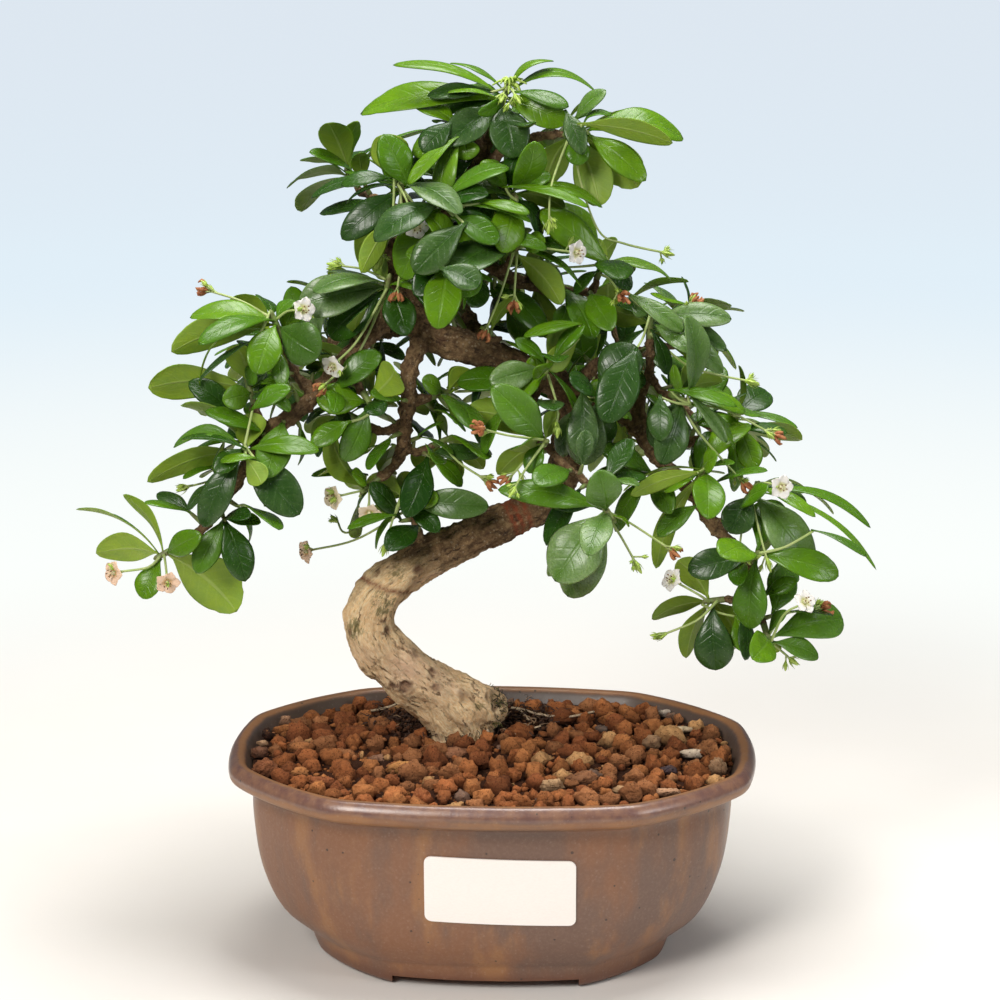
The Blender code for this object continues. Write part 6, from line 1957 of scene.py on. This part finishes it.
class BuildInnerLeaves(bpy.types.Operator):
    """Fill the crown with small leaf tufts along the limbs, each clear of all the others"""

    bl_idname = "bonsai.build_inner_leaves"
    bl_label = "Inner leaves"

    def execute(self, context):
        look, foliage = context.scene.bonsai_inner, context.scene.bonsai_foliage
        draw = random.Random(17)
        margin = look.clearance / MM
        taken = [blade_solid(leaf, 0.0) for shoot in shoots().values() for leaf in shoot["leaves"]]
        for node in FLOWER_NODES:
            verts, faces = box_shape(*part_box(node))
            verts = [to_tree(v) for v in verts]
            reach = np.array(verts)
            taken.append((reach.min(axis=0), reach.max(axis=0), BVHTree.FromPolygons(verts, faces)))
        wood = bpy.data.objects["gnarled_wood"].data
        places = [to_tree(v.co) for v in wood.vertices]
        tree = BVHTree.FromPolygons(places, [p.vertices for p in wood.polygons])
        corners = np.array([to_tree(v) for v in box_shape(*CAD_BOX)[0]])
        far_low, far_high = corners.min(axis=0) + BOX_MARGIN, corners.max(axis=0) - BOX_MARGIN
        eye = to_tree(CAMERA_PLACE)
        halves = {"inner_leaves_left": Pieces(), "inner_leaves_right": Pieces()}

        def half_at(place):
            return halves["inner_leaves_left" if place.x < 0.0 else "inner_leaves_right"]

        def hides_wood(leaf):
            """Whether a leaf stands before the wood, seen from the camera."""
            spots = (leaf["root"].lerp(leaf["tip"], share) for share in (0.3, 0.65, 1.0))
            return any(tree.ray_cast(spot, (spot - eye).normalized(), 45.0)[0] is not None for spot in spots)

        for *shape, tone, dust in SEEN_LEAVES:
            leaf, bearer = seen_leaf(taken, *shape)
            if leaf is None:
                continue
            taken.append(blade_solid(leaf, 0.0))
            half = half_at(leaf["tip"])
            half.add_blade({**grown(leaf, draw), "tone": tone, "dust": dust}, look)
            bent = bearer.lerp(leaf["root"], 0.5) - UP * (0.12 * (leaf["root"] - bearer).length)
            stalk = [(bearer - UP * 0.8, 0.6), (bent, 0.5), (leaf["root"].lerp(leaf["tip"], 0.04), 0.45)]
            half.add_tube(stalk, 6, STALK, 1.5)
        tuft = nearest_tip(YOUNG_TUFT)
        for _ in range(16):
            spans = ((-1.0, 1.0), (-1.2, 0.4), (-0.4, 0.8))
            way = Vector([draw.uniform(*span) for span in spans]).normalized()
            middle = tuft + way * draw.uniform(2.0, 3.5)
            end = middle + (way - UP * draw.uniform(0.2, 1.6)).normalized() * draw.uniform(2.0, 4.0)
            halves["inner_leaves_right"].add_tube([(tuft, 0.55), (middle, 0.5), (end, 0.25)], 6, YOUNG, 0.8)
        for name, route in wood_shapes()[0].items():
            axes = frames_along(route)
            stride = max(1, round(look.spacing / FINE_STEP))
            for k in range(stride, len(route) - 1, stride):
                place, radius = route[k][0] / MM, route[k][1] / MM
                low = place.z < LIMB_LEAVES_FROM and not name.startswith("spur")
                if low or name == "trunk" and place.z < LEAVES_FROM:
                    continue
                ahead, side, up = axes[k]
                out = turned(side, up, draw.uniform(0.0, math.tau))
                way = (out + ahead * draw.uniform(-0.1, 0.5) + UP * 0.25).normalized()
                start = place + out * radius * 0.6
                foot = place + way * (radius + draw.uniform(1.5, 5.0))
                spin = draw.uniform(0.0, math.tau)
                across = way.cross(Vector((0.3, 0.9, 0.1))).normalized()
                other = way.cross(across)
                grew = False
                for i in range(draw.choice((3, 4, 5))):
                    spread = turned(across, other, spin + i * GROWTH_TURN)
                    heading = turned(spread, way, math.radians(draw.uniform(12.0, 65.0)))
                    length = draw.uniform(look.shortest, look.longest) / MM
                    tip = foot + heading * length
                    normal = squared(way * 0.5 + Vector((0.0, -0.15, 0.9)) - spread * 0.2, heading)
                    width = length * draw.uniform(0.42, 0.52)
                    bend = foot.lerp(tip, 0.5) + normal * draw.uniform(0.05, 0.13) * 2.0 * length
                    leaf = {"root": foot, "bend": bend, "tip": tip, "normal": normal, "width": width}
                    probe = blade_solid(leaf, margin)
                    if (probe[0] < far_low).any() or (probe[1] > far_high).any():
                        continue
                    if meets(probe, taken) or probe[2].overlap(tree) or hides_wood(leaf):
                        continue
                    taken.append(blade_solid(leaf, 0.0))
                    shaped = grown(leaf, draw)
                    # Painted shade: leaves inside the crown are painted darker, as they stand in the crown's shade.
                    shaped["tone"] *= SHADED
                    half_at(tip).add_blade(shaped, look)
                    grew = True
                if grew:
                    bent, end = start.lerp(foot, 0.6), foot + way * 1.2
                    stem = [(start, 1.0), (bent, 0.85), (foot, 0.75), (end, 0.3)]
                    half_at(foot).add_tube(stem, 6, STEM, 1.5)
        for name, half in halves.items():
            finish_piece(name, half.mesh(name, leaf_materials(foliage)), "foliage")
        return {"FINISHED"}


# Flowers


class BloomLook(bpy.types.PropertyGroup):
    radius: FloatProperty(
        name="Radius", description="From the middle to a petal's tip", subtype="DISTANCE", default=4.6 * MM
    )


PETAL_COLOURS = {
    "petal_white": ((0.88, 0.84, 0.78), (0.62, 0.60, 0.25)),
    "petal_cream": ((0.88, 0.74, 0.54), (0.66, 0.50, 0.22)),
    "petal_salmon": ((0.90, 0.62, 0.44), (0.70, 0.42, 0.20)),
}
PETAL_ROWS = 6
PETAL_COLUMNS = 6
PETAL_THICK = 0.22
PETAL, ANTHER, FILAMENT = 0, 1, 2


def petal_shape(place, ahead, out, radius, cup):
    """A petal that spreads outwards and cups forwards, and where each point lies on it."""
    across = ahead.cross(out)
    verts, where = [], []
    for thick in (0.0, PETAL_THICK):
        for i in range(PETAL_ROWS + 1):
            t = i / PETAL_ROWS
            swell = math.sin(math.pi * min(1.0, 0.12 + 0.80 * t)) ** 0.8
            half = radius * (0.10 + 0.36 * swell) * (1.0 if t < 1 else 0.7)
            for j in range(PETAL_COLUMNS + 1):
                u = -1.0 + 2.0 * j / PETAL_COLUMNS
                reach = radius * (0.10 + 0.90 * t)
                lift = cup * t * (1.6 - 1.1 * t) + 0.35 * u * u * t + thick
                bulge = 1.0 - 0.10 * u * u * t
                verts.append(place + out * reach * bulge + across * half * u + ahead * lift)
                where.append((u, t, 0.0))
    return verts, where


class BuildBlooms(bpy.types.Operator):
    """Open the small five-petalled flowers"""

    bl_idname = "bonsai.build_blooms"
    bl_label = "Flowers"

    def execute(self, context):
        radius = context.scene.bonsai_bloom.radius / MM
        draw = random.Random(9)
        petals = {name: make_material(name, petal, *colours) for name, colours in PETAL_COLOURS.items()}
        anther = make_material("anther", plain_plant, (0.10, 0.04, 0.02), (0.30, 0.16, 0.05), 0.6, 2000.0)
        filament = make_material("filament", plain_plant, (0.75, 0.72, 0.50), (0.66, 0.62, 0.35), 0.5)
        stalks = [stalk for shoot in shoots().values() for stalk in shoot["stalks"]]
        ends = [(s["route"][-2][0], s["route"][-1][0]) for s in stalks if s["kind"] == "flower"]
        faces = sheet_faces(PETAL_ROWS, PETAL_COLUMNS)
        for node in FLOWER_NODES:
            low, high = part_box(node)
            middle = to_tree((low + high) / 2)
            before, end = min(ends, key=lambda pair: (pair[1] - middle).length)
            way = (end - before).normalized()
            place = end + way * 0.3
            ahead = (way + (to_tree(CAMERA_PLACE) - place).normalized() * 0.8).normalized()
            side = sideways(ahead)
            up = ahead.cross(side)
            pieces = Pieces()
            for k in range(5):
                out = turned(side, up, math.tau * (k + 0.5) / 5)
                verts, where = petal_shape(place, ahead, out, radius, draw.uniform(0.8, 1.5))
                pieces.add(verts, faces, PETAL, where)
            heart = ((0.0, 0.8), (0.9, 0.7), (1.3, 0.3))
            pieces.add_tube([(place + ahead * at, thick) for at, thick in heart], 8, FILAMENT)
            for k in range(5):
                out = turned(side, up, math.tau * k / 5 + 0.2)
                top = place + ahead * draw.uniform(2.2, 2.8) + out * draw.uniform(0.9, 1.4)
                pieces.add_tube([(place + ahead * 0.6, 0.14), (top, 0.12)], 5, FILAMENT)
                knob = ((-0.15, 0.2), (0.15, 0.32), (0.5, 0.15))
                pieces.add_tube([(top + ahead * at, thick) for at, thick in knob], 6, ANTHER)
            x, y = pixel_of(place)
            # The flowers at the lower left are the oldest.
            if x < 200 or y > 540 and x < 320:
                tint = "petal_salmon"
            else:
                tint = "petal_cream" if x < 370 and y > 450 else "petal_white"
            name = "bloom" + node[len("flower"):]
            finish_piece(name, pieces.mesh(name, (petals[tint], anther, filament)), "petals", node)
        return {"FINISHED"}


# Stage


class StageLook(bpy.types.PropertyGroup):
    floor_colour: FloatVectorProperty(
        name="Floor", description="Warm white near the pot", subtype="COLOR", size=3,
        default=(0.80, 0.765, 0.72)
    )
    middle_colour: FloatVectorProperty(
        name="Middle", description="Where floor meets backdrop", subtype="COLOR", size=3,
        default=(0.91, 0.935, 0.905)
    )
    far_colour: FloatVectorProperty(
        name="Backdrop", description="Pale blue behind the tree", subtype="COLOR", size=3,
        default=(0.73, 0.835, 0.91)
    )
    top_colour: FloatVectorProperty(
        name="Top", description="Pale grey-blue high up", subtype="COLOR", size=3, default=(0.70, 0.765, 0.84)
    )
    glow: FloatProperty(
        name="Glow", description="Share of the backdrop's brightness that lights the tree", default=0.15
    )
    key_power: FloatProperty(
        name="Key light", description="Power of the light above", default=19.0, unit="POWER"
    )


FLOOR_RADIUS = 2.0
BACKDROP_BEND = 0.9
BACKDROP_HEIGHT = 3.0
BEND_STEPS = 10
STAGE_SIDES = 64
LIGHTS = (
    # name, place, what it looks at, size, share of the key light's power, colour
    ("top_light", (0.1, 0.1, 1.35), (0.0, 0.0, 0.1), (0.8, 0.7), 1.0, (1.0, 0.99, 0.97)),
    ("front_light", (-0.7, -1.3, 1.1), (0.0, 0.0, 0.15), (0.6, 0.6), 1.15, (1.0, 0.97, 0.93)),
    ("side_light", (1.4, -0.8, 0.8), (0.0, 0.0, 0.15), (0.6, 0.6), 0.4, (0.97, 0.98, 1.0)),
)


def pale_paper(s, look):
    """Warm white under the pot, and a backdrop that shines by itself farther out."""
    place = s.place()
    flat = s.stretch(place, (1.0, 1.0, 0.0))
    away = s.node("ShaderNodeVectorMath", {0: flat}, operation="LENGTH").outputs["Value"]
    paper = s.between(s.noise(place, 25.0, 3.0), 0.3, 0.7, 0.0, 0.04)
    far = s.between(away, 0.22, 0.62)
    glow = s.mix(s.between(away, 0.5, 1.7), look.middle_colour, look.far_colour)
    glow = s.mix(s.between(away, 1.7, 2.9), glow, look.top_colour)
    # The backdrop shows at full strength, and lights the tree with less, as a dim room would.
    seen = s.node("ShaderNodeLightPath").outputs["Is Camera Ray"]
    return {
        "Base Color": s.mix(far, s.mix(paper, look.floor_colour, (0.70, 0.62, 0.52)), (0.05, 0.055, 0.06)),
        "Roughness": 0.8,
        "Specular IOR Level": 0.2,
        "Emission Color": s.mix(far, (0.0, 0.0, 0.0), glow),
        "Emission Strength": s.plus(look.glow, s.times(seen, 1.0 - look.glow)),
    }


class BuildStage(bpy.types.Operator):
    """Set the pale floor with its curved backdrop, the soft lights and the camera"""

    bl_idname = "bonsai.build_stage"
    bl_label = "Stage"

    def execute(self, context):
        look = context.scene.bonsai_stage
        profile = [(FLOOR_RADIUS / 2, 0.0), (FLOOR_RADIUS, 0.0)]
        for k in range(1, BEND_STEPS + 1):
            angle = math.pi / 2 * k / BEND_STEPS
            rise = BACKDROP_BEND * (1.0 - math.cos(angle))
            profile.append((FLOOR_RADIUS + BACKDROP_BEND * math.sin(angle), rise))
        profile += [(profile[-1][0], 2 * BACKDROP_BEND), (profile[-1][0], BACKDROP_HEIGHT)]
        verts = [Vector()]
        for out, height in profile:
            verts += circle_ring((0.0, 0.0), out, STAGE_SIDES, height)
        faces = [(0, 1 + k, 1 + (k + 1) % STAGE_SIDES) for k in range(STAGE_SIDES)]
        for first in range(1, 1 + (len(profile) - 1) * STAGE_SIDES, STAGE_SIDES):
            for k in range(STAGE_SIDES):
                a, b = first + k, first + (k + 1) % STAGE_SIDES
                faces.append((a, a + STAGE_SIDES, b + STAGE_SIDES, b))
        paper = make_material("pale_paper", pale_paper, look)
        paper.cycles.emission_sampling = "NONE"
        add_object("studio_floor", mesh_of("studio_floor", verts, faces, (paper,)))
        for name, place, target, size, share, colour in LIGHTS:
            data = bpy.data.lights.new(name, "AREA")
            data.shape = "RECTANGLE"
            data.size, data.size_y = size
            data.energy = look.key_power * share
            data.color = colour
            light = add_object(name, data)
            light.location = place
            light.rotation_euler = (Vector(target) - Vector(place)).to_track_quat("-Z", "Y").to_euler()
        world = bpy.data.worlds.new("studio_air")
        world.use_nodes = True
        air = world.node_tree.nodes["Background"].inputs
        air["Color"].default_value = (0.93, 0.97, 1.0, 1.0)
        air["Strength"].default_value = 0.16
        context.scene.world = world
        context.scene.view_settings.view_transform = "Standard"
        data = bpy.data.cameras.new("camera")
        data.lens, data.sensor_width, data.shift_x = LENS, SENSOR, SHIFT_X
        camera = add_object("camera", data)
        camera.location = CAMERA_PLACE
        camera.rotation_euler = CAMERA_TURN
        context.scene.camera = camera
        return {"FINISHED"}


# Add-on


LOOKS = {
    "bonsai_pot": PotLook,
    "bonsai_soil": SoilLook,
    "bonsai_wood": WoodLook,
    "bonsai_foliage": FoliageLook,
    "bonsai_inner": InnerLook,
    "bonsai_bloom": BloomLook,
    "bonsai_stage": StageLook,
}
OPERATORS = (
    BuildStage, BuildPot, BuildLabel, DressDrainMeshes, BuildSoil, BuildWood, BuildRoots, BuildFoliage,
    BuildInnerLeaves, BuildBlooms,
)


class BonsaiPanel(bpy.types.Panel):
    """Lists the pieces of the bonsai and the values that shape them"""

    bl_idname = "VIEW3D_PT_bonsai"
    bl_label = "Bonsai"
    bl_space_type = "VIEW_3D"
    bl_region_type = "UI"
    bl_category = "Bonsai"

    def draw(self, context):
        for operator in OPERATORS:
            self.layout.operator(operator.bl_idname)
        for key, look in LOOKS.items():
            box = self.layout.box()
            settings = getattr(context.scene, key)
            for name in look.__annotations__:
                box.prop(settings, name)


def register():
    for cls in (*LOOKS.values(), *OPERATORS, BonsaiPanel):
        bpy.utils.register_class(cls)
    for key, look in LOOKS.items():
        setattr(bpy.types.Scene, key, PointerProperty(type=look))


def unregister():
    for key in LOOKS:
        delattr(bpy.types.Scene, key)
    for cls in reversed((*LOOKS.values(), *OPERATORS, BonsaiPanel)):
        bpy.utils.unregister_class(cls)


def main():
    """Builds every piece in order."""
    register()
    bpy.ops.bonsai.build_stage()
    bpy.ops.bonsai.build_pot()
    bpy.ops.bonsai.build_label()
    bpy.ops.bonsai.dress_drain_meshes()
    bpy.ops.bonsai.build_soil()
    bpy.ops.bonsai.build_wood()
    bpy.ops.bonsai.build_roots()
    bpy.ops.bonsai.build_foliage()
    bpy.ops.bonsai.build_inner_leaves()
    bpy.ops.bonsai.build_blooms()
    bpy.context.view_layer.update()


if __name__ == "__main__":
    main()
